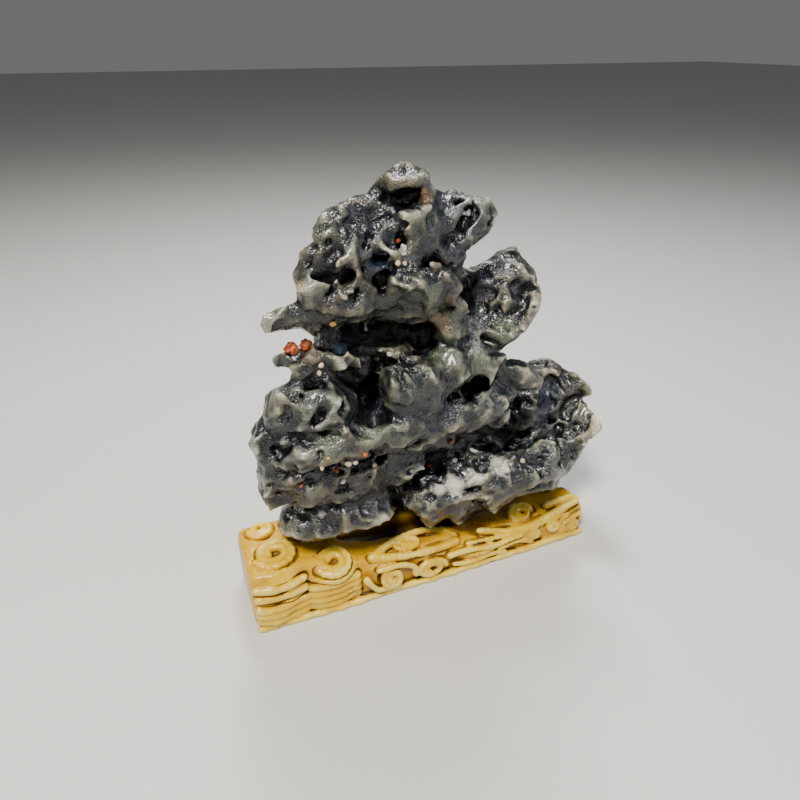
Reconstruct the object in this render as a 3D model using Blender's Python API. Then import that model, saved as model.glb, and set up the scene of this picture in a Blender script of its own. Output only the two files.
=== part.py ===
"""A wind-worn dark agate standing upright on a carved, gilt-yellow cloud-scroll stand.

Sizes are millimetres, turned to metres by MM. The frame: X runs along the stand to the
right, Y to the back, Z up. The origin is the middle of the stand's underside.
"""
import math

import bmesh
import bpy
from mathutils import Matrix, Vector, noise

MM = 0.001

# Stand
STAND_LENGTH = 100.0
STAND_HALF_DEPTH_LEFT = 11.2
STAND_FRONT_RIGHT = 9.2
STAND_BACK_RIGHT = 3.5
STAND_WAVE = 0.5
STAND_WAVE_LENGTH = 14.5
STAND_EDGE = 0.9
STAND_END_TAPER = 0.92
STAND_STATIONS = 41
STAND_SKIN = 0.45
STAND_FACES = 3100
FOOT_REACH = 0.15
# height of the stand's top along its length: (x, height)
STAND_TOP = ((-50, 17.2), (-37, 17.0), (-28, 14.2), (-18, 12.0), (0, 11.3), (14, 8.6),
             (24, 9.2), (34, 10.2), (50, 9.6))
# hollows in the stand's top: centre, half sizes
TROUGHS = (
    ((0, 1.5, 11.8), (25, 3.6, 5.6)),
    ((15.5, -3.5, 10.5), (4.5, 4.5, 3.5)),
    ((-42.3, -3, 18.5), (2.6, 2.4, 2.6)),
    ((-28.3, -8.2, 15.6), (2.4, 2.2, 2.6)),
    ((-5, -5.6, 13.5), (8, 1.8, 2.6)),
)
# carved spirals: centre, half width, half height, lean, turns, start angle, radius
SCROLLS = (
    ((-42.3, -3, 17), 5.4, 5.0, 88, 2.0, 200, 0.8),
    ((-28.3, -7.8, 13.9), 5.0, 4.8, 78, 2.0, 160, 0.8),
    ((-44, 7.2, 17), 3.2, 3.0, 88, 1.5, 180, 0.7),
    ((-13, -11.3, 5.6), 3.0, 3.0, 10, 1.4, 120, 0.7),
    ((-1.5, -10.9, 4.6), 4.4, 2.5, 10, 1.7, 0, 0.6),
    ((-7, -6.2, 11.6), 3.6, 2.0, 70, 1.4, 180, 0.7),
    ((29.5, -4.8, 9.9), 3.8, 2.8, 65, 1.7, 0, 0.7),
    ((32, -9.6, 5.4), 1.8, 1.6, 10, 1.2, 90, 0.5),
    ((38.5, -9.4, 6.2), 2.0, 1.6, 10, 1.2, 90, 0.5),
    ((46, -9.0, 4.2), 1.9, 1.8, 10, 1.2, 90, 0.5),
)
SCROLL_STEPS = 16
SCROLL_MIDDLE = 0.3
# carved bands: points and radius
BANDS = (
    (((-18, -8.3, 11.6), (-13, -9.4, 11.0), (-6, -9.9, 10.2), (2, -9.2, 9.6), (7.5, -7.5, 8.6)), 0.9),
    (((-18, -8.3, 11.6), (-12, -5.6, 12.4), (-4, -3.4, 12.2), (3, -3.6, 11.2), (8, -5.4, 8.8)), 0.8),
    (((15, -6.5, 9), (22, -8.3, 7.8), (28, -8.9, 7.6), (36, -8.4, 8.8), (42, -7.6, 10),
      (47.5, -6.4, 10), (48.8, -4.8, 9.8), (46.5, -4, 10.2), (38, -5.2, 10.4)), 0.9),
    (((20, -10.2, 4.0), (27, -10, 4.8), (31, -9.8, 3.0)), 0.5),
    (((-49, -11.2, 1.0), (-30, -11.7, 1.0), (-10, -10.9, 1.0), (15, -10.8, 1.0), (48.5, -9.3, 1.0)), 0.8),
)
# ribs under the round scrolls: from x, to x, heights
RIBS = (
    (-48.8, -36.5, (13.6, 10.6, 7.0, 5.2, 3.2)),
    (-35.0, -22.5, (9.4, 7.4, 5.4, 3.4)),
)
RIB_STEPS = 8
RIB_SAG = 0.5
RIB_RADIUS = 0.7

# Stone
VIEWPOINT = Vector((-57.8, -130.1, 132.6))
LOOK_HEADING = math.radians(21.5)
LOOK_PITCH = math.radians(29.6)
STONE_SKIN = 0.9
STONE_FACES = 6100
UNEVENNESS = 0.8
UNEVENNESS_SIZE = 7.0

# Clear space between pieces that rest on each other
GAP = 0.3

# The stone's lumps as they look from the viewpoint:
# name, centre, half sizes (across, along the sight line, up), roll in degrees
LUMPS = (
    ("lower left band", (-26, -1, 35), (15.5, 12, 6), 6),
    ("left layers", (-38, -1, 43), (6, 9, 8.5), 0),
    ("left layers low", (-40.5, -1, 36.5), (4, 7, 5), 0),
    ("block", (-26, -1, 25.5), (15.5, 11, 7), 7),
    ("foot", (-35, -2, 23.5), (5, 6, 4.5), 0),
    ("sparkly block", (-17.5, -3, 25.5), (6.5, 8, 5.5), 0),
    ("shelf body", (17.5, 1, 24.5), (24, 12, 7), 14),
    ("shelf underside", (19, -1, 17.5), (24, 6, 7.5), 5),
    ("shelf rim", (13, -9, 29), (20, 4, 5), 8),
    ("left step", (-32, -7, 40), (8, 5, 4), 12),
    ("right foot", (47, 0, 15.5), (7, 6, 6), 0),
    ("low core", (3.5, 6, 28), (17, 11, 10.5), 8),
    ("right underside", (46, 4, 21), (11, 9, 8.5), 0),
    ("back wall", (35, 13, 33.5), (18.5, 7, 14), 10),
    ("middle left", (-30.5, -4, 57), (11, 12, 9), 0),
    ("left tube", (-38, -2, 58.5), (3, 7, 4.5), 12),
    ("left bulge", (-41.5, -2, 50), (3, 8, 5.5), 0),
    ("stem", (-30.5, -2, 64.5), (5.5, 8, 3), 0),
    ("middle", (-9.5, 3, 50.5), (15.5, 12, 12), 0),
    ("pale lump", (-6.5, -8, 63), (6, 6, 5.5), 0),
    ("pale lump low", (-6, -7, 56.5), (6.5, 6, 6), 0),
    ("sheet head", (11, -2, 60), (7, 5, 5), 30),
    ("snout", (-30.5, -12, 51), (7.5, 6, 2.5), 14),
    ("middle right", (14, 3, 49.5), (13, 9, 8.5), 15),
    ("knob", (24.5, -1, 55), (5, 5, 4.5), 0),
    ("knob nose", (29, -2, 52.5), (2, 3, 2), 0),
    ("sheet foot", (4.5, -3, 62.5), (5.5, 7, 5.5), 20),
    ("neck", (-7, 9, 66.5), (17, 10, 7.5), 0),
    ("neck right", (6.5, 6, 66), (10.5, 8, 6), 0),
    ("cave shelf", (-11, 0, 69), (7.5, 8, 2), -12),
    ("cave floor", (-22.5, 0, 66.5), (8.5, 9, 3.5), 0),
    ("fin root", (21.5, 6, 67.5), (7, 5, 7), 0),
    ("fin rim", (30.5, 8, 73), (4.5, 4, 12), -12),
    ("fin middle", (22, 7, 76), (9, 4.5, 9), 20),
    ("head", (-9, 3, 92), (14.5, 13, 9.5), 32),
    ("head left", (-21.5, 0, 90.5), (8.5, 12, 7.5), 20),
    ("cheek", (-27.5, -3, 87), (4, 8, 5.5), 0),
    ("brow knob", (-23, 0, 97.5), (3, 6.5, 3), 0),
    ("brow", (-17, 2, 98.5), (7, 9, 4), 26),
    ("peak base", (-5, 3, 103), (7.5, 8.5, 5.5), 0),
    ("peak", (-4, 3, 106), (5.5, 6, 3), -8),
    ("peak knob", (-9.5, 2, 106), (1.5, 4, 2), 0),
    ("right arm", (7, 2, 95.5), (10, 8, 6), 6),
    ("arm tip", (14, 2, 96.5), (4, 5, 3.5), 0),
    ("arm knob", (7.5, 2, 101), (2, 4.5, 2), 0),
    ("head low", (-8, -2, 83), (13.5, 12, 6), -2),
    ("head right low", (4, 2, 86), (7, 9, 4), 0),
    ("lip", (-23, -7, 83.5), (6.5, 6, 2.5), 2),
    ("nub", (4, -4, 78), (4, 6, 6.5), 22),
    ("thin ledge", (8, 0, 88), (2.5, 5, 1), 12),
    ("neck back", (-6, 9, 76), (15, 8, 9), 0),
    ("spine", (-4, 8, 58), (16, 8, 28), 0),
    ("left back", (-24, 6, 44), (14, 8, 16), -10),
    ("low back", (2, 8, 32), (30, 8, 13), 6),
    ("head back", (-6, 9, 90), (12, 7, 11), 10),
)
# Thin slabs: name, centre, half sizes (across, thickness, up), roll, lean back, turn
PLATES = (
    ("slab", (48, 8, 36), (12.5, 3, 14), 8, 20, -25),
    ("sheet", (15, 1, 62), (13, 3, 5), 31, 35, 0),
    ("fin", (24, 7, 76), (10.5, 2.4, 14), -14, 12, -12),
    ("ledge tongue", (-30, -4, 70), (7.8, 4.5, 1.4), 0, 60, 0),
)
# Tapered bars: name, from, to, radius at each end
BARS = (
    ("spike 1", (-0.5, -5, 24.5), (2.5, -0.5, 8), 6.5, 0.7),
    ("spike 2", (8, -5, 21.5), (12.5, 0, 6), 5.5, 0.7),
    ("spike 3", (19, -4, 23.5), (24.5, 0, 6.5), 6.5, 0.7),
    ("spike 4", (36, 0, 21.5), (44.5, 0, 8.5), 6.0, 0.9),
    ("spike 5", (51, 3, 22), (49.5, 3, 12), 4.4, 1.0),
    ("ridge", (-23, -12, 50), (16.5, -6, 49.5), 3.4, 3.0),
    ("left arm", (-28.5, -4, 82), (-36.5, -5, 80.5), 3.3, 3.1),
)
# Hollows worn into the stone, laid out like the lumps
HOLLOWS = (
    ("cave", (-14, -8, 75), (12.5, 13, 3.5), 4),
    ("cave left", (-25, -6, 74.5), (5, 12, 3), 0),
    ("shelf", (25.5, 0, 33.5), (18.5, 9, 5), 16),
    ("slab hollow", (46.5, 4, 39), (9.5, 4.5, 10.5), 10),
    ("gap", (-6.5, 3.5, 15.5), (2.5, 9, 5.5), 0),
    ("big hollow", (-15.5, -6, 57.5), (3.5, 8, 7), 4),
    ("right hollow", (12.5, -3, 55.5), (5, 6, 3), 20),
    ("side cave", (23, -4.5, 48), (3.5, 7, 2.5), 10),
    ("dimple", (7, -4.5, 98.5), (3, 3, 3), 0),
    ("hollow 1", (-24, -10.5, 90.5), (4.5, 5, 2), 8),
    ("hollow 2", (-15, -10.5, 90), (2.5, 5, 2), 20),
    ("hollow 2 top", (-14.5, -9.5, 93.5), (2.5, 4, 1.5), 0),
    ("glitter hollow", (-1, -8, 89.5), (4.5, 5, 2.5), 10),
    ("pebble slot", (-10.5, -10, 96), (1.5, 4, 2.5), 10),
    ("blue dimple", (-30.5, -9, 66), (2.5, 3.5, 1.5), 10),
    ("tube hole", (-39, -9.5, 63.5), (1, 4, 2), 0),
    ("slit", (-31, -15.5, 61.5), (1.5, 3, 3), -35),
)
# Long groove under the middle ridge: points and radius
GROOVE = ((-33, -11, 44), (-23, -13, 45), (-12, -12, 44), (0, -10, 43))
GROOVE_RADIUS = 2.4

# The stone's outline from the viewpoint, where it crosses the plane Y = 0: (x, z)
OUTLINE = (
    (-6.5, 109.5), (-2.5, 108.5), (-0.5, 107.5), (0.5, 104.5), (3.5, 102), (5.5, 103),
    (9.5, 101.5), (15.5, 100), (17, 97), (15.5, 93.5), (11, 90.5), (9, 89), (10, 88),
    (8.5, 85), (12.5, 85), (16, 86), (17.5, 87.5), (23, 89), (24.5, 86), (28.5, 82),
    (31, 76), (31.5, 72), (28, 67), (23, 63.5), (18, 61.5), (25, 60), (27.5, 58),
    (35.5, 57.5), (41, 53), (45, 51), (49.5, 47.5), (52.5, 43), (48, 42.5), (50.5, 39.5),
    (57.5, 32), (58, 29.5), (53.5, 26), (51.5, 21.5), (48, 16), (45.5, 15.5), (44.5, 9.5),
    (42, 11.5), (35, 12.5), (30.5, 12), (25.5, 10), (24, 8), (21, 11), (17, 11), (13, 7.5),
    (12, 7), (8.5, 11.5), (6, 11), (3, 9), (1.5, 11), (-0.5, 14.5), (-5.5, 19),
    (-6.5, 20.5), (-8.5, 17), (-10, 14.5), (-16, 14.5), (-23, 15), (-32.5, 15.5),
    (-36.5, 17.5), (-40, 21.5), (-42, 24), (-42, 30), (-43.5, 36.5), (-43, 44),
    (-44.5, 49.5), (-42.5, 54), (-40, 56.5), (-39, 61), (-33.5, 63.5), (-32, 66.5),
    (-36.5, 68.5), (-36.5, 70.5), (-28.5, 71), (-27, 73.5), (-30, 75.5), (-37, 76.5),
    (-38.5, 78), (-38, 80), (-34.5, 81), (-29.5, 82.5), (-30.5, 89), (-28.5, 93),
    (-25.5, 94.5), (-25.5, 97.5), (-23.5, 100.5), (-17, 103), (-13.5, 103.5),
    (-11, 106.5), (-8, 108.5),
)
OUTLINE_NEAR = 0.7
OUTLINE_FAR = 1.35

# Small stones caught in the hollows, dropped on to the stone below them unless wedged:
# name, centre, half sizes, roll, wedged, colour, roughness, detail
PEBBLES = (
    ("pebble_orange_left", (-33.2, -3.0, 75.0), (1.5, 1.5, 1.4), 10, False, (0.55, 0.16, 0.04), 0.3, 2),
    ("pebble_orange_right", (-30.0, -3.2, 75.0), (1.3, 1.4, 1.5), 0, False, (0.48, 0.12, 0.03), 0.3, 2),
    ("crystal_black", (-22.6, -4.4, 75.0), (2.2, 2.0, 2.2), 20, False, (0.02, 0.025, 0.03), 0.08, 1),
    ("pebble_white_long", (-8.8, -8.0, 93.2), (0.8, 0.9, 1.9), 8, True, (0.55, 0.53, 0.55), 0.25, 2),
)
PEBBLE_SINK = 0.25
PEBBLE_SHARP = 40.0


def look_axes(roll=0.0, lean=0.0, turn=0.0):
    """Axes of a shape laid out as it looks from the viewpoint (across, away, up)."""
    away = Vector((math.sin(LOOK_HEADING) * math.cos(LOOK_PITCH),
                   math.cos(LOOK_HEADING) * math.cos(LOOK_PITCH),
                   -math.sin(LOOK_PITCH)))
    across = Vector((math.cos(LOOK_HEADING), -math.sin(LOOK_HEADING), 0.0))
    up = across.cross(away)
    look = Matrix((across, away, up)).transposed()
    roll_turn = Matrix.Rotation(-math.radians(roll), 3, "Y")
    side_turn = Matrix.Rotation(math.radians(turn), 3, "Z")
    lean_turn = Matrix.Rotation(-math.radians(lean), 3, "X")
    return (look @ roll_turn @ side_turn @ lean_turn).to_4x4()


def placed(centre, axes, half_sizes):
    """Matrix that puts a unit shape at a place, in metres."""
    size = Matrix.Diagonal((*[MM * value for value in half_sizes], 1.0))
    return Matrix.Translation(MM * Vector(centre)) @ axes @ size


def add_ball(bm, centre, half_sizes, axes, detail=3):
    bmesh.ops.create_icosphere(bm, subdivisions=detail, radius=1.0,
                               matrix=placed(centre, axes, half_sizes))


def add_slab(bm, centre, half_sizes, axes):
    bmesh.ops.create_cube(bm, size=2.0, matrix=placed(centre, axes, half_sizes))


def add_bar(bm, start, end, start_radius, end_radius, sides=12):
    """A tapered bar with a ball at each end."""
    start = Vector(start)
    end = Vector(end)
    along = (end - start).to_track_quat("Z", "Y").to_matrix().to_4x4()
    middle = Matrix.Translation(MM * (start + end) / 2) @ along
    bmesh.ops.create_cone(bm, cap_ends=True, segments=sides, radius1=MM * start_radius,
                          radius2=MM * end_radius, depth=MM * (end - start).length,
                          matrix=middle)
    for point, radius in ((start, start_radius), (end, end_radius)):
        add_ball(bm, point, (radius, radius, radius), Matrix.Identity(4), detail=2)


def make_object(name, bm):
    mesh = bpy.data.meshes.new(name)
    bm.to_mesh(mesh)
    bm.free()
    made = bpy.data.objects.new(name, mesh)
    bpy.context.scene.collection.objects.link(made)
    return made


def settle(piece):
    """Make the result of a piece's modifiers its own mesh."""
    bpy.context.view_layer.update()
    graph = bpy.context.evaluated_depsgraph_get()
    mesh = bpy.data.meshes.new_from_object(piece.evaluated_get(graph))
    piece.modifiers.clear()
    piece.data = mesh


def skin(piece, size):
    """Fuse the overlapping shapes of a piece into one skin."""
    cover = piece.modifiers.new("skin", "REMESH")
    cover.mode = "VOXEL"
    cover.voxel_size = MM * size
    cover.adaptivity = 0.0
    settle(piece)


def soften(piece, times):
    smooth = piece.modifiers.new("worn", "SMOOTH")
    smooth.factor = 0.5
    smooth.iterations = times
    settle(piece)


def cut(piece, other, operation="DIFFERENCE"):
    """Cut a piece with another object, which is then removed."""
    other.hide_render = True
    other.display_type = "WIRE"
    boolean = piece.modifiers.new("cut", "BOOLEAN")
    boolean.solver = "EXACT"
    boolean.operation = operation
    boolean.object = other
    settle(piece)
    bpy.data.objects.remove(other)


def thin_out(piece, faces):
    """Bring a piece down to a number of triangles."""
    triangles = sum(len(polygon.vertices) - 2 for polygon in piece.data.polygons)
    reduce = piece.modifiers.new("facets", "DECIMATE")
    reduce.ratio = min(1.0, faces / triangles)
    reduce.use_collapse_triangulate = True
    settle(piece)


def keep_largest(piece):
    """Drop crumbs and sealed bubbles, and keep the body itself."""
    bm = bmesh.new()
    bm.from_mesh(piece.data)
    left = set(bm.verts)
    bodies = []
    while left:
        body = [left.pop()]
        for vertex in body:
            for edge in vertex.link_edges:
                other = edge.other_vert(vertex)
                if other in left:
                    left.remove(other)
                    body.append(other)
        bodies.append(body)
    bodies.sort(key=len, reverse=True)
    for body in bodies[1:]:
        bmesh.ops.delete(bm, geom=body, context="VERTS")
    bm.to_mesh(piece.data)
    bm.free()


def finish(piece, colour, roughness, sharp=40.0):
    """Give a piece its material and shading."""
    material = bpy.data.materials.new(piece.name)
    material.use_nodes = True
    shader = material.node_tree.nodes["Principled BSDF"]
    shader.inputs["Base Color"].default_value = (*colour, 1.0)
    shader.inputs["Roughness"].default_value = roughness
    shader.inputs["Metallic"].default_value = 0.0
    piece.data.materials.clear()
    piece.data.materials.append(material)
    piece.data.shade_smooth()
    piece.data.set_sharp_from_angle(angle=math.radians(sharp))


def along(table, x):
    """Smoothly read a table of (x, value) pairs."""
    for (x0, value0), (x1, value1) in zip(table, table[1:]):
        if x <= x1:
            part = min(max((x - x0) / (x1 - x0), 0.0), 1.0)
            part = part * part * (3.0 - 2.0 * part)
            return value0 + (value1 - value0) * part
    return table[-1][1]


def outline_prism():
    """A tapering block whose sides pass through the outline and meet at the viewpoint."""
    bm = bmesh.new()
    rings = []
    for share in (OUTLINE_NEAR, OUTLINE_FAR):
        ring = []
        for x, z in OUTLINE:
            point = VIEWPOINT + share * (Vector((x, 0.0, z)) - VIEWPOINT)
            ring.append(bm.verts.new(MM * point))
        rings.append(ring)
    near, far = rings
    count = len(OUTLINE)
    for i in range(count):
        j = (i + 1) % count
        bm.faces.new((near[i], near[j], far[j], far[i]))
    bm.faces.new(near[::-1])
    bm.faces.new(far)
    bmesh.ops.recalc_face_normals(bm, faces=bm.faces)
    return make_object("outline", bm)


def build_stone():
    bm = bmesh.new()
    for _, centre, half_sizes, roll in LUMPS:
        add_ball(bm, centre, half_sizes, look_axes(roll))
    for _, centre, half_sizes, roll, lean, turn in PLATES:
        add_slab(bm, centre, half_sizes, look_axes(roll, lean, turn))
    for _, start, end, start_radius, end_radius in BARS:
        add_bar(bm, start, end, start_radius, end_radius)
    stone = make_object("stone", bm)
    skin(stone, STONE_SKIN)
    soften(stone, 6)
    weather(stone)
    cut(stone, outline_prism(), "INTERSECT")
    cut(stone, hollows())
    skin(stone, STONE_SKIN)
    soften(stone, 1)
    keep_largest(stone)
    thin_out(stone, STONE_FACES)
    return stone


def weather(stone):
    """Push the skin in and out in rounded scallops with sharper ridges between them."""
    bm = bmesh.new()
    bm.from_mesh(stone.data)
    bm.normal_update()
    for vertex in bm.verts:
        place = vertex.co / (MM * UNEVENNESS_SIZE)
        push = 0.45 - abs(noise.noise(place)) * 2.0
        vertex.co += MM * UNEVENNESS * push * vertex.normal
    bm.to_mesh(stone.data)
    bm.free()


def hollows():
    """All hollows and the long groove as one cutting body."""
    bm = bmesh.new()
    for _, centre, half_sizes, roll in HOLLOWS:
        add_ball(bm, centre, half_sizes, look_axes(roll))
    for start, end in zip(GROOVE, GROOVE[1:]):
        add_bar(bm, start, end, GROOVE_RADIUS, GROOVE_RADIUS)
    cutter = make_object("hollows", bm)
    skin(cutter, STONE_SKIN / 2)
    return cutter


def stand_front(x):
    """The front face of the stand at its foot, a wavy line that bulges at each scroll."""
    share = (x + STAND_LENGTH / 2) / STAND_LENGTH
    depth = STAND_HALF_DEPTH_LEFT + (STAND_FRONT_RIGHT - STAND_HALF_DEPTH_LEFT) * share
    return -depth - STAND_WAVE * math.cos(2 * math.pi * (x + 44) / STAND_WAVE_LENGTH)


def stand_section(x):
    """The outline across the stand's length, as (y, z) from the bottom front edge up."""
    share = (x + STAND_LENGTH / 2) / STAND_LENGTH
    front = stand_front(x)
    back = STAND_HALF_DEPTH_LEFT + (STAND_BACK_RIGHT - STAND_HALF_DEPTH_LEFT) * share ** 3
    top = along(STAND_TOP, x)
    edge = STAND_EDGE
    return ((front + edge, 0), (front, edge), (front, 0.5 * top), (front + 0.4 * edge, 0.8 * top),
            (front + 1.6 * edge, top - 0.6 * edge), (front + 3.4 * edge, top),
            (back - 2.6 * edge, top), (back - edge, top - 0.6 * edge), (back, top - 2 * edge),
            (back, edge), (back - edge, 0))


def stand_body():
    """The plain block of the stand, lofted through its sections."""
    bm = bmesh.new()
    rings = []
    for i in range(STAND_STATIONS):
        x = STAND_LENGTH * (i / (STAND_STATIONS - 1) - 0.5)
        shrink = STAND_END_TAPER if i in (0, STAND_STATIONS - 1) else 1.0
        points = [Vector((x, y * shrink, z * shrink)) for y, z in stand_section(x)]
        rings.append([bm.verts.new(MM * point) for point in points])
    for ring, following in zip(rings, rings[1:]):
        count = len(ring)
        for i in range(count):
            j = (i + 1) % count
            bm.faces.new((ring[i], ring[j], following[j], following[i]))
    bm.faces.new(rings[0][::-1])
    bm.faces.new(rings[-1])
    bmesh.ops.recalc_face_normals(bm, faces=bm.faces)
    return make_object("stand", bm)


def scroll(centre, across, up, lean, turns, start=0.0):
    """Points of a flat spiral that winds in to its middle; lean 0 faces the front."""
    lean = math.radians(lean)
    upward = Vector((0.0, math.sin(lean), math.cos(lean)))
    points = []
    steps = round(SCROLL_STEPS * turns)
    for i in range(steps + 1):
        part = i / steps
        angle = math.radians(start) + 2 * math.pi * turns * part
        reach = 1.0 - (1.0 - SCROLL_MIDDLE) * part
        point = Vector(centre) + Vector((across * reach * math.cos(angle), 0.0, 0.0))
        points.append(point + up * reach * math.sin(angle) * upward)
    return points


def ribs():
    """The stacked ribs under the two round scrolls."""
    lines = []
    for start, end, heights in RIBS:
        for height in heights:
            line = []
            for i in range(RIB_STEPS + 1):
                part = i / RIB_STEPS
                x = start + (end - start) * part
                sag = RIB_SAG * (1.0 - (2.0 * part - 1.0) ** 2)
                line.append(Vector((x, stand_front(x), height - sag)))
            lines.append(line)
    return lines


def tube(points, radius):
    """A round bar along a line of points, as a closed mesh object."""
    curve = bpy.data.curves.new("line", "CURVE")
    curve.dimensions = "3D"
    curve.bevel_depth = MM * radius
    curve.bevel_resolution = 1
    curve.use_fill_caps = True
    spline = curve.splines.new("POLY")
    spline.points.add(len(points) - 1)
    for slot, point in zip(spline.points, points):
        slot.co = (*(MM * Vector(point)), 1.0)
    return bpy.data.objects.new("line", curve)


def add_lines(piece, lines):
    """Add round bars along lines to a piece's mesh."""
    bm = bmesh.new()
    bm.from_mesh(piece.data)
    for points, radius in lines:
        line = tube(points, radius)
        bpy.context.scene.collection.objects.link(line)
        bpy.context.view_layer.update()
        graph = bpy.context.evaluated_depsgraph_get()
        mesh = bpy.data.meshes.new_from_object(line.evaluated_get(graph))
        bm.from_mesh(mesh)
        bpy.data.objects.remove(line)
    bm.to_mesh(piece.data)
    bm.free()


def flatten_foot(piece):
    """Bring the underside to exactly Z = 0."""
    for vertex in piece.data.vertices:
        if vertex.co.z < MM * FOOT_REACH:
            vertex.co.z = 0.0


def build_stand():
    stand = stand_body()
    lines = [(scroll(*values), radius) for *values, radius in SCROLLS]
    lines += [(points, radius) for points, radius in BANDS]
    lines += [(line, RIB_RADIUS) for line in ribs()]
    add_lines(stand, lines)
    skin(stand, STAND_SKIN)
    bm = bmesh.new()
    for centre, half_sizes in TROUGHS:
        add_ball(bm, centre, half_sizes, Matrix.Identity(4), detail=4)
    trough = make_object("trough", bm)
    skin(trough, STAND_SKIN)
    cut(stand, trough)
    skin(stand, STAND_SKIN)
    soften(stand, 1)
    keep_largest(stand)
    flatten_foot(stand)
    thin_out(stand, STAND_FACES)
    flatten_foot(stand)
    return stand


def seat_on(stone, stand):
    """Cut the stone off just above the stand, so that it rests on it with a hair of space."""
    raised = bpy.data.objects.new("raised", stand.data.copy())
    bpy.context.scene.collection.objects.link(raised)
    raised.location.z = MM * GAP
    cut(stone, raised)
    keep_largest(stone)


def build_pebbles(stone):
    """The stones caught in the hollows, each resting in a seat of its own shape."""
    pebbles = []
    for name, centre, half_sizes, roll, wedged, colour, roughness, detail in PEBBLES:
        centre = Vector(centre)
        hit, place, _, _ = stone.ray_cast(MM * centre, (0, 0, -1))
        if hit and not wedged:
            centre.z = place.z / MM + half_sizes[2] * (1.0 - PEBBLE_SINK)
        bm = bmesh.new()
        add_ball(bm, centre, half_sizes, look_axes(roll), detail)
        pebble = make_object(name, bm)
        bm = bmesh.new()
        add_ball(bm, centre, [value + GAP for value in half_sizes], look_axes(roll), detail)
        cut(stone, make_object("seat", bm))
        finish(pebble, colour, roughness, sharp=PEBBLE_SHARP if detail > 1 else 0.0)
        pebbles.append(pebble)
    keep_largest(stone)
    return pebbles


def clear_scene():
    for leftover in list(bpy.data.objects):
        bpy.data.objects.remove(leftover)


clear_scene()
stand = build_stand()
finish(stand, (0.72, 0.42, 0.05), 0.3)
stone = build_stone()
seat_on(stone, stand)
build_pebbles(stone)
finish(stone, (0.045, 0.05, 0.055), 0.25)
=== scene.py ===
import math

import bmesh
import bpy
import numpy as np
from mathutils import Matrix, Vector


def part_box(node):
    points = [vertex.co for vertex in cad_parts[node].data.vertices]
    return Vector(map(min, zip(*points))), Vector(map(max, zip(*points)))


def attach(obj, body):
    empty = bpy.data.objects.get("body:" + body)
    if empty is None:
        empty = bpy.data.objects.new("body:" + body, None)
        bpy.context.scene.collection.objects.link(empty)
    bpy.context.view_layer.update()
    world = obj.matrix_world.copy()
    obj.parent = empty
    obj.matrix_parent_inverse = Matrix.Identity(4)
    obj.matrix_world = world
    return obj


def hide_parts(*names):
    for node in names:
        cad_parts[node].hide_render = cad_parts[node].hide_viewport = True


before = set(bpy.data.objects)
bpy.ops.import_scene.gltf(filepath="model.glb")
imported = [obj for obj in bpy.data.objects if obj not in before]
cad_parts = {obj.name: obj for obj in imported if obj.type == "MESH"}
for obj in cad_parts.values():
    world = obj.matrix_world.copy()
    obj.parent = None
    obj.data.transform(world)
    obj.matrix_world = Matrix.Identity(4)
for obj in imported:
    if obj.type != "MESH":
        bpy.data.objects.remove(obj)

# %% [markdown]
# A wind-worn agate from the desert stands upright on a small carved stand. Two pieces
# carry the looks: the stone, all hollows, ledges and thin ridges, and the yellow stand
# with its cloud scrolls. A few pebbles and grains of sand are caught in the stone. Sizes
# are in millimetres here, and are turned to metres where a mesh or a lamp is made.

import openvdb
from mathutils import Matrix, Vector, noise

MM = 0.001
REAL = np.float32
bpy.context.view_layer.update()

# %% [markdown]
# The stone was laid out as it looks from one place, the spot where the viewer stands.
# Forms are given across, away and up as seen from there, so that each ledge and hollow
# falls where the eye finds it. The same spot later holds the camera.

# %% Where the viewer stands
VIEWPOINT = np.array([-57.8, -130.1, 132.6])
LOOK_HEADING = math.radians(21.5)
LOOK_PITCH = math.radians(29.6)
AWAY = np.array([math.sin(LOOK_HEADING) * math.cos(LOOK_PITCH),
                 math.cos(LOOK_HEADING) * math.cos(LOOK_PITCH), -math.sin(LOOK_PITCH)])
ACROSS = np.array([math.cos(LOOK_HEADING), -math.sin(LOOK_HEADING), 0.0])
UPWARD = np.cross(ACROSS, AWAY)


def look_axes(roll=0.0, lean=0.0, turn=0.0):
    """Axes of a form laid out as it looks from the viewpoint (across, away, up)."""
    look = Matrix((ACROSS, AWAY, UPWARD)).transposed()
    roll_turn = Matrix.Rotation(-math.radians(roll), 3, "Y")
    side_turn = Matrix.Rotation(math.radians(turn), 3, "Z")
    lean_turn = Matrix.Rotation(-math.radians(lean), 3, "X")
    return np.array(look @ roll_turn @ side_turn @ lean_turn)


print("the viewer is", round(float(np.linalg.norm(VIEWPOINT))), "mm from the stand's middle")

# %% [markdown]
# Wind and sand take stone away grain by grain, so its forms run into each other without
# a seam. A distance field copies that well: a block of points that each hold how far the
# surface is, below zero inside. Lumps are added and hollows cut with soft joins, and the
# surface is cast from the block at the end. Modelling by hand would need a seam wherever
# two forms meet.

# %% A soft join
def softer(one, other, blend):
    """The nearer of two distances, with a rounded join."""
    share = np.maximum(REAL(blend) - np.abs(one - other), 0) / REAL(blend)
    return np.minimum(one, other) - share * share * REAL(blend * 0.25)


print("two faces 1 mm away join at", float(softer(1.0, 1.0, 2.0)), "mm with a blend of 2 mm")

# %% [markdown]
# A form changes only the points near it, its window, which keeps the work short. A block
# can also be bent: each point then reads the form from a place a little to the side, so
# that no form comes out clean.

# %% A block of points
FAR_OUTSIDE = 20.0


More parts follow.
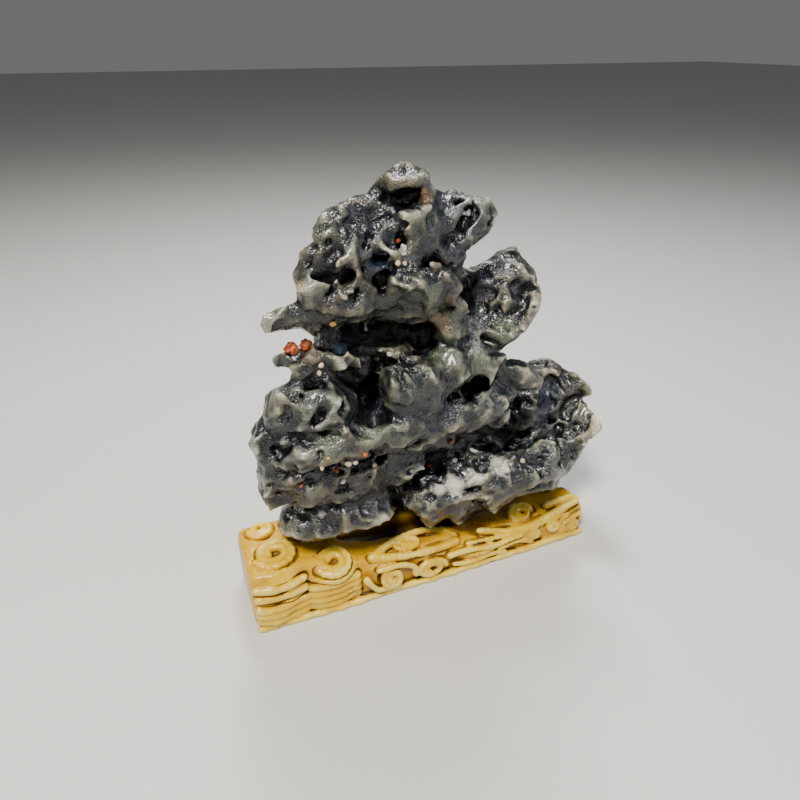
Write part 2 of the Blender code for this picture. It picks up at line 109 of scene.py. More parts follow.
class Block:
    """A block of points, each with its distance to the surface."""

    def __init__(self, low, high, step):
        self.step = step
        self.low = np.array(low, float)
        self.lines = [np.arange(low[i], high[i] + step, step, dtype=REAL) for i in range(3)]
        self.shape = tuple(len(line) for line in self.lines)
        self.depth = np.full(self.shape, FAR_OUTSIDE, REAL)
        self.bend = None

    def window(self, centre, reach):
        """The part of the block within reach of a point."""
        window = []
        for axis in range(3):
            first = int(np.floor((centre[axis] - reach - self.low[axis]) / self.step))
            last = int(np.ceil((centre[axis] + reach - self.low[axis]) / self.step)) + 1
            first, last = max(first, 0), min(last, self.shape[axis])
            if first >= last:
                return None
            window.append(slice(first, last))
        return tuple(window)

    def offsets(self, window, centre, axes=None):
        """Steps from a point to each point of the window, along a form's own axes."""
        steps = [self.lines[0][window[0]][:, None, None] - REAL(centre[0]),
                 self.lines[1][window[1]][None, :, None] - REAL(centre[1]),
                 self.lines[2][window[2]][None, None, :] - REAL(centre[2])]
        if self.bend is not None:
            steps = [step + bend[window] for step, bend in zip(steps, self.bend)]
        if axes is None:
            return steps
        turn = axes.T.astype(REAL)
        return [turn[i, 0] * steps[0] + turn[i, 1] * steps[1] + turn[i, 2] * steps[2]
                for i in range(3)]

    def join(self, window, form, blend):
        """Add a form to the window, with a soft join."""
        self.depth[window] = softer(self.depth[window], form, blend)

    def cut(self, window, form, blend):
        """Take a form away from the window, with a soft edge."""
        self.depth[window] = -softer(-self.depth[window], form, blend)

    def read(self, points, values=None):
        """The distance, or other values of the block, at any points."""
        values = self.depth if values is None else values
        place = (np.atleast_2d(points) - self.low) / self.step
        first = np.clip(np.floor(place).astype(int), 0, np.array(self.shape) - 2)
        part = np.clip(place - first, 0, 1)
        total = np.zeros(len(place))
        for corner in np.ndindex(2, 2, 2):
            weight = np.prod(np.where(corner, part, 1 - part), axis=1)
            i, j, k = (first + corner).T
            total += weight * values[i, j, k]
        return total


print("an empty block of 2 mm has", Block((0, 0, 0), (2, 2, 2), 0.5).depth.size, "points")

# %% [markdown]
# The block is cast into a mesh by the volume library that comes with Blender. Its quads
# follow the surface evenly, which suits fine bumps and smooth shading. Carving leaves
# loose crumbs, so the largest body alone is kept, and the smallest triangles are merged
# where the surface is nearly flat, so that the piece stays light.

# %% One body, not too heavy
MOST_TRIANGLES = 190000


def keep_largest(bm):
    """Delete every body of the mesh data but the one with the most points."""
    left = set(bm.verts)
    bodies = []
    while left:
        body = [left.pop()]
        for vertex in body:
            for edge in vertex.link_edges:
                other = edge.other_vert(vertex)
                if other in left:
                    left.remove(other)
                    body.append(other)
        bodies.append(body)
    bodies.sort(key=len, reverse=True)
    for body in bodies[1:]:
        bmesh.ops.delete(bm, geom=body, context="VERTS")


def thin_out(piece):
    """Merge the smallest triangles where the surface is nearly flat."""
    reduce = piece.modifiers.new("thin out", "DECIMATE")
    reduce.ratio = min(1.0, MOST_TRIANGLES / (2 * len(piece.data.polygons)))
    reduce.use_collapse_triangulate = True
    graph = bpy.context.evaluated_depsgraph_get()
    mesh = bpy.data.meshes.new_from_object(piece.evaluated_get(graph))
    piece.modifiers.clear()
    piece.data = mesh


print("a piece is thinned to", MOST_TRIANGLES, "triangles at most")

# %% [markdown]
# A piece is built as loose mesh data first and then becomes an object of the scene. The
# library measures in steps of the block, so its points are scaled and moved to their
# place on the way.

# %% From a block to a mesh piece
CAST_REACH = 5.0


def new_piece(name, bm):
    """An object of the scene from finished mesh data."""
    mesh = bpy.data.meshes.new(name)
    bm.to_mesh(mesh)
    bm.free()
    piece = bpy.data.objects.new(name, mesh)
    bpy.context.scene.collection.objects.link(piece)
    return piece


def cast(name, block):
    """A mesh piece of the block's surface: its largest body alone."""
    grid = openvdb.FloatGrid(CAST_REACH)
    grid.copyFromArray(np.clip(block.depth, -CAST_REACH, CAST_REACH))
    points, quads = grid.convertToQuads(0.0)
    bm = bmesh.new()
    corners = [bm.verts.new(point) for point in (points * block.step + block.low) * MM]
    for quad in quads[:, ::-1].tolist():
        bm.faces.new([corners[i] for i in quad])
    keep_largest(bm)
    piece = new_piece(name, bm)
    thin_out(piece)
    piece.data.shade_smooth()
    print(name, "has", len(piece.data.polygons), "triangles")
    return piece


# %% [markdown]
# The stand is carved from one block and painted: a low bar that tapers to the right, its
# front wavy and covered with cloud scrolls, and a long hollow in the top that takes the
# stone. The plain bar comes first. Its cross section changes along the length, so it is
# given by a few measures and a function that draws the section at any place.

# %% The stand's measures
STAND_LENGTH = 100.0
STAND_HALF_DEPTH_LEFT = 11.2
STAND_FRONT_RIGHT = 9.2
STAND_BACK_RIGHT = 3.5
STAND_WAVE = 0.5
STAND_WAVE_LENGTH = 14.5
STAND_FIRST_BULGE = -44.0
STAND_EDGE = 0.9
# height of the stand's top along its length: (x, height)
STAND_TOP = ((-50, 17.2), (-37, 17.0), (-28, 14.2), (-18, 12.0), (0, 11.3), (14, 8.6),
             (24, 9.2), (34, 10.2), (50, 9.6))


def along(table, x):
    """Smoothly read a table of (x, value) pairs."""
    for (x0, value0), (x1, value1) in zip(table, table[1:]):
        if x <= x1:
            part = min(max((x - x0) / (x1 - x0), 0.0), 1.0)
            part = part * part * (3.0 - 2.0 * part)
            return value0 + (value1 - value0) * part
    return table[-1][1]


def stand_front(x):
    """The front face of the stand at its foot, a wavy line that bulges at each scroll."""
    share = (x + STAND_LENGTH / 2) / STAND_LENGTH
    depth = STAND_HALF_DEPTH_LEFT + (STAND_FRONT_RIGHT - STAND_HALF_DEPTH_LEFT) * share
    return -depth - STAND_WAVE * math.cos(2 * math.pi * (x - STAND_FIRST_BULGE) / STAND_WAVE_LENGTH)


def stand_section(x):
    """The outline across the stand's length, as (y, z) from the bottom front edge up."""
    share = (x + STAND_LENGTH / 2) / STAND_LENGTH
    front = stand_front(x)
    back = STAND_HALF_DEPTH_LEFT + (STAND_BACK_RIGHT - STAND_HALF_DEPTH_LEFT) * share ** 3
    top = along(STAND_TOP, x)
    edge = STAND_EDGE
    # The front leans back a little as it rises, and each edge is taken off by its width.
    return ((front + edge, 0), (front, edge), (front, 0.5 * top), (front + 0.4 * edge, 0.8 * top),
            (front + 1.6 * edge, top - 0.6 * edge), (front + 3.4 * edge, top),
            (back - 2.6 * edge, top), (back - edge, top - 0.6 * edge), (back, top - 2 * edge),
            (back, edge), (back - edge, 0))


for x in (-STAND_LENGTH / 2, 0.0, STAND_LENGTH / 2):
    print(f"at x = {x:.0f} mm the stand's front is at {stand_front(x):.1f}, its top at",
          f"{along(STAND_TOP, x):.1f} mm")

# %% [markdown]
# A drawn outline becomes a distance too: the nearest side counts, with its sign from an
# odd or even number of crossings. The stone's own outline uses the same function later.

# %% Distance to a drawn outline
def outline_distance(corners, y, z):
    """Distance of points to a closed outline, below zero inside."""
    nearest = np.full(y.shape, 1e9)
    inside = np.zeros(y.shape, bool)
    for (y0, z0), (y1, z1) in zip(corners, corners[1:] + corners[:1]):
        run, rise = y1 - y0, z1 - z0
        share = np.clip(((y - y0) * run + (z - z0) * rise) / (run * run + rise * rise), 0, 1)
        nearest = np.minimum(nearest, (y - y0 - share * run) ** 2 + (z - z0 - share * rise) ** 2)
        if rise:
            inside ^= ((z0 > z) != (z1 > z)) & (y < y0 + (z - z0) * run / rise)
    return np.where(inside, -1, 1) * np.sqrt(nearest)


square = ((0, 0), (2, 0), (2, 2), (0, 2))
square_middle = float(outline_distance(square, np.array([1.0]), np.array([1.0]))[0])
print("the middle of a square of 2 mm has the distance", square_middle)

# %% [markdown]
# The bar is filled in slice by slice along its length. Its two ends are cut off with a
# rounded edge. A copy of the plain bar is kept: the grooves are measured from it, and so
# are the paint's wear and the painted shade in the hollows.

# %% The plain bar
STAND_GRAIN = 0.3
STAND_BLOCK_LOW, STAND_BLOCK_HIGH = (-51.5, -14.5, -1.5), (51.5, 13, 19.5)
STAND_END_BLEND = 2.4
stand_block = Block(STAND_BLOCK_LOW, STAND_BLOCK_HIGH, STAND_GRAIN)
y_grid, z_grid = np.meshgrid(stand_block.lines[1], stand_block.lines[2], indexing="ij")
for i, x in enumerate(stand_block.lines[0]):
    inner = float(np.clip(x, -STAND_LENGTH / 2, STAND_LENGTH / 2))
    stand_block.depth[i] = outline_distance(stand_section(inner), y_grid, z_grid)
end_distance = np.abs(stand_block.lines[0]) - REAL(STAND_LENGTH / 2)
stand_block.depth = -softer(-stand_block.depth, -end_distance[:, None, None], STAND_END_BLEND)
plain_bar = stand_block.depth.copy()
print("stand block:", stand_block.shape, "points")

# %% [markdown]
# Under the scrolls the carver left soft cushions, and the top has hollows: a long one
# for the stone, and a small one in the middle of each large scroll. All of them are egg
# shapes, joined to the bar or cut from it with a soft edge.

# %% Cushions and hollows of the stand
PLAIN_AXES = np.eye(3)
CUSHION_BLEND, CUSHION_MARGIN = 1.6, 4
TROUGH_BLEND, TROUGH_MARGIN = 1.2, 3
# cushions on the front: centre, half sizes
CUSHIONS = (
    ((-42.3, -4.5, 13.2), (6.6, 7.6, 4.6)),
    ((-28.6, -8.2, 10.8), (6.2, 4.4, 4.0)),
    ((14, -8.6, 5.2), (6.5, 2.6, 3.6)),
    ((-42.5, -10.2, 5), (6.4, 2.2, 5.4)),
    ((-28.5, -10.6, 4.6), (6.2, 2.0, 4.8)),
)
# hollows in the stand's top: centre, half sizes
TROUGHS = (
    ((0, 1.5, 11.8), (25, 3.6, 5.6)),
    ((15.5, -3.5, 10.5), (4.5, 4.5, 3.5)),
    ((-42.3, -3, 18.5), (2.6, 2.4, 2.6)),
    ((-28.3, -8.2, 15.6), (2.4, 2.2, 2.6)),
    ((-5, -5.6, 13.5), (8, 1.8, 2.6)),
)


def ball(block, window, centre, half_sizes, axes):
    """Distance to an egg shape."""
    x, y, z = block.offsets(window, centre, axes)
    a, b, c = [REAL(size) for size in half_sizes]
    near = np.sqrt((x / a) ** 2 + (y / b) ** 2 + (z / c) ** 2) + REAL(1e-6)
    slope = np.sqrt((x / a ** 2) ** 2 + (y / b ** 2) ** 2 + (z / c ** 2) ** 2) + REAL(1e-6)
    return near * (near - 1) / slope


def add_ball(block, centre, half_sizes, axes, blend, reach):
    """Join an egg shape to the block, changing only what is within reach."""
    window = block.window(centre, reach)
    block.join(window, ball(block, window, centre, half_sizes, axes), blend)


for centre, half_sizes in CUSHIONS:
    reach = max(half_sizes) + CUSHION_MARGIN
    add_ball(stand_block, centre, half_sizes, PLAIN_AXES, CUSHION_BLEND, reach)
for centre, half_sizes in TROUGHS:
    window = stand_block.window(centre, max(half_sizes) + TROUGH_MARGIN)
    form = ball(stand_block, window, centre, half_sizes, PLAIN_AXES)
    stand_block.cut(window, form, TROUGH_BLEND)
print(len(CUSHIONS), "cushions and", len(TROUGHS), "hollows")

# %% [markdown]
# The carving is drawn as lines first. A cloud scroll is a flat spiral that winds in to
# its middle. Some lie on the front and some on the top, so each has a lean of its own.

# %% Cloud scrolls
# carved spirals: centre, half width, half height, lean, turns, start angle, radius
SCROLLS = (
    ((-42.3, -3, 17), 5.4, 5.0, 88, 2.0, 200, 0.8),
    ((-28.3, -7.8, 13.9), 5.0, 4.8, 78, 2.0, 160, 0.8),
    ((-44, 7.2, 17), 3.2, 3.0, 88, 1.5, 180, 0.7),
    ((-13, -11.3, 5.6), 3.0, 3.0, 10, 1.4, 120, 0.7),
    ((-1.5, -10.9, 4.6), 4.4, 2.5, 10, 1.7, 0, 0.6),
    ((-7, -6.2, 11.6), 3.6, 2.0, 70, 1.4, 180, 0.7),
    ((29.5, -4.8, 9.9), 3.8, 2.8, 65, 1.7, 0, 0.7),
    ((32, -9.6, 5.4), 1.8, 1.6, 10, 1.2, 90, 0.5),
    ((38.5, -9.4, 6.2), 2.0, 1.6, 10, 1.2, 90, 0.5),
    ((46, -9.0, 4.2), 1.9, 1.8, 10, 1.2, 90, 0.5),
)
SCROLL_STEPS = 16
SCROLL_MIDDLE = 0.3


def scroll(centre, across, up, lean, turns, start=0.0):
    """Points of a flat spiral that winds in to its middle; lean 0 faces the front."""
    lean = math.radians(lean)
    upward = np.array([0.0, math.sin(lean), math.cos(lean)])
    points = []
    steps = round(SCROLL_STEPS * turns)
    for i in range(steps + 1):
        part = i / steps
        angle = math.radians(start) + 2 * math.pi * turns * part
        reach = 1.0 - (1.0 - SCROLL_MIDDLE) * part
        across_step = np.array([across * reach * math.cos(angle), 0.0, 0.0])
        points.append(np.array(centre) + across_step + up * reach * math.sin(angle) * upward)
    return points


cords = [(scroll(*values), radius) for *values, radius in SCROLLS]
print(len(cords), "scrolls")

# %% [markdown]
# Bands run along the front and round the long hollow, thin flourishes fill the ground
# between the scrolls, and under the two round scrolls ribs are stacked like layers of
# cloth. A line is rounded by cutting its corners off twice, which needs fewer points
# than a drawn curve.

# %% Bands, flourishes and ribs
# carved bands: points and radius
BANDS = (
    (((-18, -8.3, 11.6), (-13, -9.4, 11.0), (-6, -9.9, 10.2), (2, -9.2, 9.6), (7.5, -7.5, 8.6)), 0.9),
    (((-18, -8.3, 11.6), (-12, -5.6, 12.4), (-4, -3.4, 12.2), (3, -3.6, 11.2), (8, -5.4, 8.8)), 0.8),
    (((15, -6.5, 9), (22, -8.3, 7.8), (28, -8.9, 7.6), (36, -8.4, 8.8), (42, -7.6, 10),
      (47.5, -6.4, 10), (48.8, -4.8, 9.8), (46.5, -4, 10.2), (38, -5.2, 10.4)), 0.9),
    (((20, -10.2, 4.0), (27, -10, 4.8), (31, -9.8, 3.0)), 0.5),
    (((-49, -11.2, 1.0), (-30, -11.7, 1.0), (-10, -10.9, 1.0), (15, -10.8, 1.0), (48.5, -9.3, 1.0)), 0.8),
)
# ribs under the round scrolls: from x, to x, heights
RIBS = (
    (-48.8, -36.5, (13.6, 10.6, 7.0, 5.2, 3.2)),
    (-35.0, -22.5, (9.4, 7.4, 5.4, 3.4)),
)
RIB_STEPS = 8
RIB_SAG = 0.5
RIB_RADIUS = 0.7
# thin flourishes on the front: points and radius
FRONT_FLOURISHES = (
    (((-20.5, -11.6, 7.8), (-18.5, -11.9, 4.2), (-16.5, -11.7, 2.6), (-11, -11.4, 2.2)), 0.55),
    (((-17, -10.9, 9.0), (-11, -11.3, 9.6), (-6.5, -11.0, 7.6), (-6.2, -11.2, 4.6)), 0.55),
    (((4, -10.4, 6.8), (8.5, -10.7, 7.4), (13, -10.4, 6.6), (19, -10.3, 5.6), (27, -9.9, 6.6)), 0.6),
    (((5.5, -10.6, 3.4), (10, -10.9, 2.6), (16, -10.6, 3.4), (22, -10.2, 2.4)), 0.5),
    (((10, -9.4, 8.4), (17, -9.2, 7.8), (24, -9.4, 7.0), (31, -9.2, 7.6), (40, -8.8, 8.4)), 0.5),
    (((41, -9.0, 3.0), (43, -9.1, 6.4), (48.5, -8.6, 7.4)), 0.5),
)


def rounded(points, times=2):
    """A line of points with its corners cut off again and again."""
    points = [np.array(point, float) for point in points]
    for _ in range(times):
        inner = []
        for one, other in zip(points, points[1:]):
            inner += [0.75 * one + 0.25 * other, 0.25 * one + 0.75 * other]
        points = [points[0]] + inner + [points[-1]]
    return points


def ribs():
    """The stacked ribs under the two round scrolls."""
    lines = []
    for start, end, heights in RIBS:
        for height in heights:
            line = []
            for i in range(RIB_STEPS + 1):
                part = i / RIB_STEPS
                x = start + (end - start) * part
                sag = RIB_SAG * (1.0 - (2.0 * part - 1.0) ** 2)
                line.append((x, stand_front(x), height - sag))
            lines.append(line)
    return lines


cords += [(rounded(points), radius) for points, radius in BANDS]
cords += [(rounded(line), RIB_RADIUS) for line in ribs()]
cords += [(rounded(points), radius) for points, radius in FRONT_FLOURISHES]
cord_length = sum(float(np.linalg.norm(other - one)) for points, _ in cords
                  for one, other in zip(points, points[1:]))
print(len(cords), "carved lines,", round(cord_length), "mm in all")

# %% [markdown]
# Each line is a raised cord with a cut groove on both sides, as a carver leaves it when
# the ground is taken down round a drawn line. The groove is cut first, no deeper than a
# set floor, and the cord is laid back into it. Both are bars between two points.

# %% Grooves and cords
GROOVE_EXTRA = 0.7
GROOVE_FLOOR = 0.8
GROOVE_BLEND = 0.3
GROOVE_MARGIN = 4
CORD_EXTRA = 0.05
CORD_BLEND = 0.7
LINE_MARGIN = 1


def bar(block, window, start, end, start_radius, end_radius):
    """Distance to a round bar that may taper."""
    start = np.asarray(start, float)
    x, y, z = block.offsets(window, start)
    run = (np.asarray(end, float) - start).astype(REAL)
    share = (x * run[0] + y * run[1] + z * run[2]) / REAL(float(run @ run) + 1e-9)
    share = np.clip(share, 0, 1)
    away = np.sqrt((x - share * run[0]) ** 2 + (y - share * run[1]) ** 2
                   + (z - share * run[2]) ** 2)
    return away - (REAL(start_radius) + share * REAL(end_radius - start_radius))


def lay_line(block, points, radius, blend, taking=False):
    """Add a cord along a line of points to the block, or cut a groove along it."""
    for one, other in zip(points, points[1:]):
        middle = (np.asarray(one) + np.asarray(other)) / 2
        reach = np.linalg.norm(np.asarray(other) - np.asarray(one)) / 2
        window = block.window(middle, reach + radius + blend + LINE_MARGIN)
        if window is not None:
            form = bar(block, window, one, other, radius, radius)
            (block.cut if taking else block.join)(window, form, blend)


for points, radius in cords:
    for one, other in zip(points, points[1:]):
        middle = (one + other) / 2
        window = stand_block.window(middle, np.linalg.norm(other - middle) + GROOVE_MARGIN)
        form = bar(stand_block, window, one, other, radius + GROOVE_EXTRA, radius + GROOVE_EXTRA)
        form = np.maximum(form, -plain_bar[window] - REAL(GROOVE_FLOOR))
        stand_block.cut(window, form, GROOVE_BLEND)
for points, radius in cords:
    lay_line(stand_block, points, radius + CORD_EXTRA, CORD_BLEND)
print(len(cords), "cords, each in a groove", GROOVE_EXTRA, "mm wider on both sides")

# %% [markdown]
# Nothing carved or worn is even. A swell is a field of smooth random values: a coarse
# grid of random numbers, filled in by smooth curves. It is used often, so it is worked
# out axis by axis, which is quick. Here small swells are the waves of the knife.

# %% Waves of the knife
SWELL_GAIN = 2.2
KNIFE_WAVES = 0.22
KNIFE_WAVE_WIDTH = 2.2
KNIFE_SEED = 4
FLAT_BAND = 0.4


def swell(block, width, seed):
    """Smooth random values about zero, mostly within one, that change over a width."""
    rng = np.random.default_rng(seed)
    counts = [int((line[-1] - line[0]) / width) + 4 for line in block.lines]
    values = rng.uniform(-1, 1, counts).astype(REAL)
    for axis in range(3):
        places = (block.lines[axis] - block.lines[axis][0]) / width + 1
        first = np.floor(places).astype(int)
        part = (places - first).astype(REAL)
        weights = ((1 - part) ** 3 / 6, (3 * part ** 3 - 6 * part ** 2 + 4) / 6,
                   (-3 * part ** 3 + 3 * part ** 2 + 3 * part + 1) / 6, part ** 3 / 6)
        spread = np.zeros((len(places), counts[axis]), REAL)
        for offset, weight in enumerate(weights):
            slots = np.clip(first - 1 + offset, 0, counts[axis] - 1)
            spread[np.arange(len(places)), slots] += weight
        values = np.moveaxis(np.tensordot(spread, values, axes=(1, axis)), 0, axis)
    return values * REAL(SWELL_GAIN)


stand_block.depth += REAL(KNIFE_WAVES) * swell(stand_block, KNIFE_WAVE_WIDTH, KNIFE_SEED)
underside = -stand_block.lines[2][None, None, :]
stand_block.depth = np.maximum(stand_block.depth, underside)
stand = cast("carved_stand", stand_block)
for vertex in stand.data.vertices:
    if vertex.co.z < MM * FLAT_BAND:
        vertex.co.z = 0.0

# %% [markdown]
# The paint is paler where it stands proud, partly worn and partly a painted highlight,
# and darker in the grooves and the long hollow, which is painted shade. The material
# has to know which is which, so two numbers are kept at each mesh point: how far it lies
# outside the plain bar, and how far it stands out of what is around it. The second is the
# difference between the field and a blurred copy.

# %% Values for the stand's paint
STAND_CREST_REACH = 3


def blurred(values, reach):
    """Values averaged over a cube of points, twice for a soft edge."""
    for _ in range(2):
        for axis in range(3):
            pad = [(0, 0)] * 3
            pad[axis] = (reach + 1, reach)
            total = np.cumsum(np.pad(values, pad, mode="edge"), axis=axis, dtype=np.float64)
            count = values.shape[axis]
            upper = np.take(total, np.arange(2 * reach + 1, 2 * reach + 1 + count), axis=axis)
            lower = np.take(total, np.arange(count), axis=axis)
            values = ((upper - lower) / (2 * reach + 1)).astype(REAL)
    return values


def places(piece):
    """Where a piece's mesh points are, in millimetres."""
    values = np.empty(3 * len(piece.data.vertices))
    piece.data.vertices.foreach_get("co", values)
    return values.reshape(-1, 3) / MM


def keep_values(piece, name, values):
    """Store one number per mesh point for the material to read."""
    slot = piece.data.attributes.new(name, "FLOAT", "POINT")
    slot.data.foreach_set("value", np.asarray(values, dtype=REAL))


stand_places = places(stand)
# Low values lie in the long hollow and the grooves, which the lacquer darkens as painted shade.
keep_values(stand, "raised", stand_block.read(stand_places, plain_bar))
stand_crest = blurred(stand_block.depth, STAND_CREST_REACH) - stand_block.depth
keep_values(stand, "crest", stand_block.read(stand_places, stand_crest))
print("stand relief:", round(float(stand_crest.min()), 2), "to", round(float(stand_crest.max()), 2))

# %% [markdown]
# The stone starts from its large lumps, flat slabs and tapered spikes, the same ones that
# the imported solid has. Each has a name, so that the list can be read beside the real
# stone.

# %% The stone's large forms
# The stone's lumps as they look from the viewpoint:
# name, centre, half sizes (across, along the sight line, up), roll in degrees
LUMPS = (
    ("lower left band", (-26, -1, 35), (15.5, 12, 6), 6),
    ("left layers", (-38, -1, 43), (6, 9, 8.5), 0),
    ("left layers low", (-40.5, -1, 36.5), (4, 7, 5), 0),
    ("block", (-26, -1, 25.5), (15.5, 11, 7), 7),
    ("foot", (-35, -2, 23.5), (5, 6, 4.5), 0),
    ("sparkly block", (-17.5, -3, 25.5), (6.5, 8, 5.5), 0),
    ("shelf body", (17.5, 1, 24.5), (24, 12, 7), 14),
    ("shelf underside", (19, -1, 17.5), (24, 6, 7.5), 5),
    ("shelf rim", (13, -9, 29), (20, 4, 5), 8),
    ("left step", (-32, -7, 40), (8, 5, 4), 12),
    ("right foot", (47, 0, 15.5), (7, 6, 6), 0),
    ("low core", (3.5, 6, 28), (17, 11, 10.5), 8),
    ("right underside", (46, 4, 21), (11, 9, 8.5), 0),
    ("back wall", (35, 13, 33.5), (18.5, 7, 14), 10),
    ("middle left", (-30.5, -4, 57), (11, 12, 9), 0),
    ("left tube", (-38, -2, 58.5), (3, 7, 4.5), 12),
    ("left bulge", (-41.5, -2, 50), (3, 8, 5.5), 0),
    ("stem", (-30.5, -2, 64.5), (5.5, 8, 3), 0),
    ("middle", (-9.5, 3, 50.5), (15.5, 12, 12), 0),
    ("pale lump", (-6.5, -8, 63), (6, 6, 5.5), 0),
    ("pale lump low", (-6, -7, 56.5), (6.5, 6, 6), 0),
    ("sheet head", (11, -2, 60), (7, 5, 5), 30),
    ("snout", (-30.5, -12, 51), (7.5, 6, 2.5), 14),
    ("middle right", (14, 3, 49.5), (13, 9, 8.5), 15),
    ("knob", (24.5, -1, 55), (5, 5, 4.5), 0),
    ("knob nose", (29, -2, 52.5), (2, 3, 2), 0),
    ("sheet foot", (4.5, -3, 62.5), (5.5, 7, 5.5), 20),
    ("neck", (-7, 9, 66.5), (17, 10, 7.5), 0),
    ("neck right", (6.5, 6, 66), (10.5, 8, 6), 0),
    ("cave shelf", (-11, 0, 69), (7.5, 8, 2), -12),
    ("cave floor", (-22.5, 0, 66.5), (8.5, 9, 3.5), 0),
    ("fin root", (21.5, 6, 67.5), (7, 5, 7), 0),
    ("fin rim", (30.5, 8, 73), (4.5, 4, 12), -12),
    ("fin middle", (22, 7, 76), (9, 4.5, 9), 20),
    ("head", (-9, 3, 92), (14.5, 13, 9.5), 32),
    ("head left", (-21.5, 0, 90.5), (8.5, 12, 7.5), 20),
    ("cheek", (-27.5, -3, 87), (4, 8, 5.5), 0),
    ("brow knob", (-23, 0, 97.5), (3, 6.5, 3), 0),
    ("brow", (-17, 2, 98.5), (7, 9, 4), 26),
    ("peak base", (-5, 3, 103), (7.5, 8.5, 5.5), 0),
    ("peak", (-4, 3, 106), (5.5, 6, 3), -8),
    ("peak knob", (-9.5, 2, 106), (1.5, 4, 2), 0),
    ("right arm", (7, 2, 95.5), (10, 8, 6), 6),
    ("arm tip", (14, 2, 96.5), (4, 5, 3.5), 0),
    ("arm knob", (7.5, 2, 101), (2, 4.5, 2), 0),
    ("head low", (-8, -2, 83), (13.5, 12, 6), -2),
    ("head right low", (4, 2, 86), (7, 9, 4), 0),
    ("lip", (-23, -7, 83.5), (6.5, 6, 2.5), 2),
    ("nub", (4, -4, 78), (4, 6, 6.5), 22),
    ("thin ledge", (8, 0, 88), (2.5, 5, 1), 12),
    ("neck back", (-6, 9, 76), (15, 8, 9), 0),
    ("spine", (-4, 8, 58), (16, 8, 28), 0),
    ("left back", (-24, 6, 44), (14, 8, 16), -10),
    ("low back", (2, 8, 32), (30, 8, 13), 6),
    ("head back", (-6, 9, 90), (12, 7, 11), 10),
    ("shelf back", (31, 11, 28), (14, 6, 6), 10),
    ("slab back", (51, 12, 32), (7, 4, 8), 8),
)
# Thin slabs: name, centre, half sizes (across, thickness, up), roll, lean back, turn
PLATES = (
    ("slab", (48, 8, 36), (12.5, 3, 14), 8, 20, -25),
    ("sheet", (15, 1, 62), (13, 3, 5), 31, 35, 0),
    ("fin", (24, 7, 76), (10.5, 2.4, 14), -14, 12, -12),
    ("ledge tongue", (-30, -4, 70), (7.8, 4.5, 1.4), 0, 60, 0),
)
# Tapered bars: name, from, to, radius at each end
BARS = (
    ("spike 1", (-0.5, -5, 24.5), (2.5, -0.5, 8), 6.5, 0.7),
    ("spike 2", (8, -5, 21.5), (12.5, 0, 6), 5.5, 0.7),
    ("spike 3", (19, -4, 23.5), (24.5, 0, 6.5), 6.5, 0.7),
    ("spike 4", (36, 0, 21.5), (44.5, 0, 8.5), 6.0, 0.9),
    ("spike 5", (51, 3, 22), (49.5, 3, 12), 4.4, 1.0),
    ("ridge", (-23, -12, 50), (16.5, -6, 49.5), 3.4, 3.0),
    ("left arm", (-28.5, -4, 82), (-36.5, -5, 80.5), 3.3, 3.1),
)
print(len(LUMPS), "lumps,", len(PLATES), "slabs and", len(BARS), "spikes and arms")

# %% [markdown]
# While they are joined, the forms are bent by two slow random swells, so that no lump
# shows as a clean ball.

# %% Join the large forms
STONE_GRAIN = 0.5
LUMP_BLEND = 2.0
SLAB_BLEND = 1.5
SLAB_EDGE = 1.2
SPIKE_BLEND = 1.8
FORM_MARGIN = 5
# a bent form reaches out further than a clean one, by this factor
BENT_REACH = 1.25
# swells that bend the large forms: height, width, first seed
BROAD_BEND = ((1.1, 9, 10), (0.5, 4, 20))


def slab(block, window, centre, half_sizes, axes, edge):
    """Distance to a flat slab with rounded edges."""
    steps = block.offsets(window, centre, axes)
    gaps = [np.abs(step) - REAL(size - edge) for step, size in zip(steps, half_sizes)]
    outside = np.sqrt(sum(np.maximum(gap, 0) ** 2 for gap in gaps))
    inside = np.minimum(np.maximum(np.maximum(gaps[0], gaps[1]), gaps[2]), 0)
    return outside + inside - REAL(edge)


def random_bend(block, swells):
    """Random steps to the side along each axis, from a few swells."""
    return [sum(height * swell(block, width, seed + axis) for height, width, seed in swells)
            for axis in range(3)]


stone_block = Block((-49, -21, 4), (61, 29, 113.5), STONE_GRAIN)
stone_block.bend = random_bend(stone_block, BROAD_BEND)
for _, centre, half_sizes, roll in LUMPS:
    reach = max(half_sizes) * BENT_REACH + FORM_MARGIN
    add_ball(stone_block, centre, half_sizes, look_axes(roll), LUMP_BLEND, reach)
for _, centre, half_sizes, roll, lean, turn in PLATES:
    window = stone_block.window(centre, np.linalg.norm(half_sizes) + FORM_MARGIN)
    form = slab(stone_block, window, centre, half_sizes, look_axes(roll, lean, turn), SLAB_EDGE)
    stone_block.join(window, form, SLAB_BLEND)
for _, start, end, start_radius, end_radius in BARS:
    middle = (np.array(start) + np.array(end)) / 2
    reach = np.linalg.norm(np.array(end) - np.array(start)) / 2 + start_radius
    window = stone_block.window(middle, reach + FORM_MARGIN)
    form = bar(stone_block, window, start, end, start_radius, end_radius)
    stone_block.join(window, form, SPIKE_BLEND)
print("stone block:", stone_block.shape, "points")

# %% [markdown]
# Blown sand scours a stone into rounded bites that meet in sharp crests. A swell with its
# sign taken off has just that profile: round on one side of zero, a crease at zero. Four
# of them give bites from 9 mm down to 1.6 mm. The two large ones come now, the fine ones
# when the hollows are cut.

# %% Large wind bites
# width in mm, height in mm, seed
LARGE_BITES = ((9.0, 2.4, 31), (5.2, 2.3, 32))
LARGE_BITE_LEVEL = 0.42


def bite(block, width, height, seed, level):
    """Scour round bites where the swell is over the level, and raise crests below it."""
    block.depth -= REAL(height) * (REAL(level) - np.abs(swell(block, width, seed)))


for width, height, seed in LARGE_BITES:
    bite(stone_block, width, height, seed, LARGE_BITE_LEVEL)
    print("bites of", width, "mm, up to", height, "mm high")

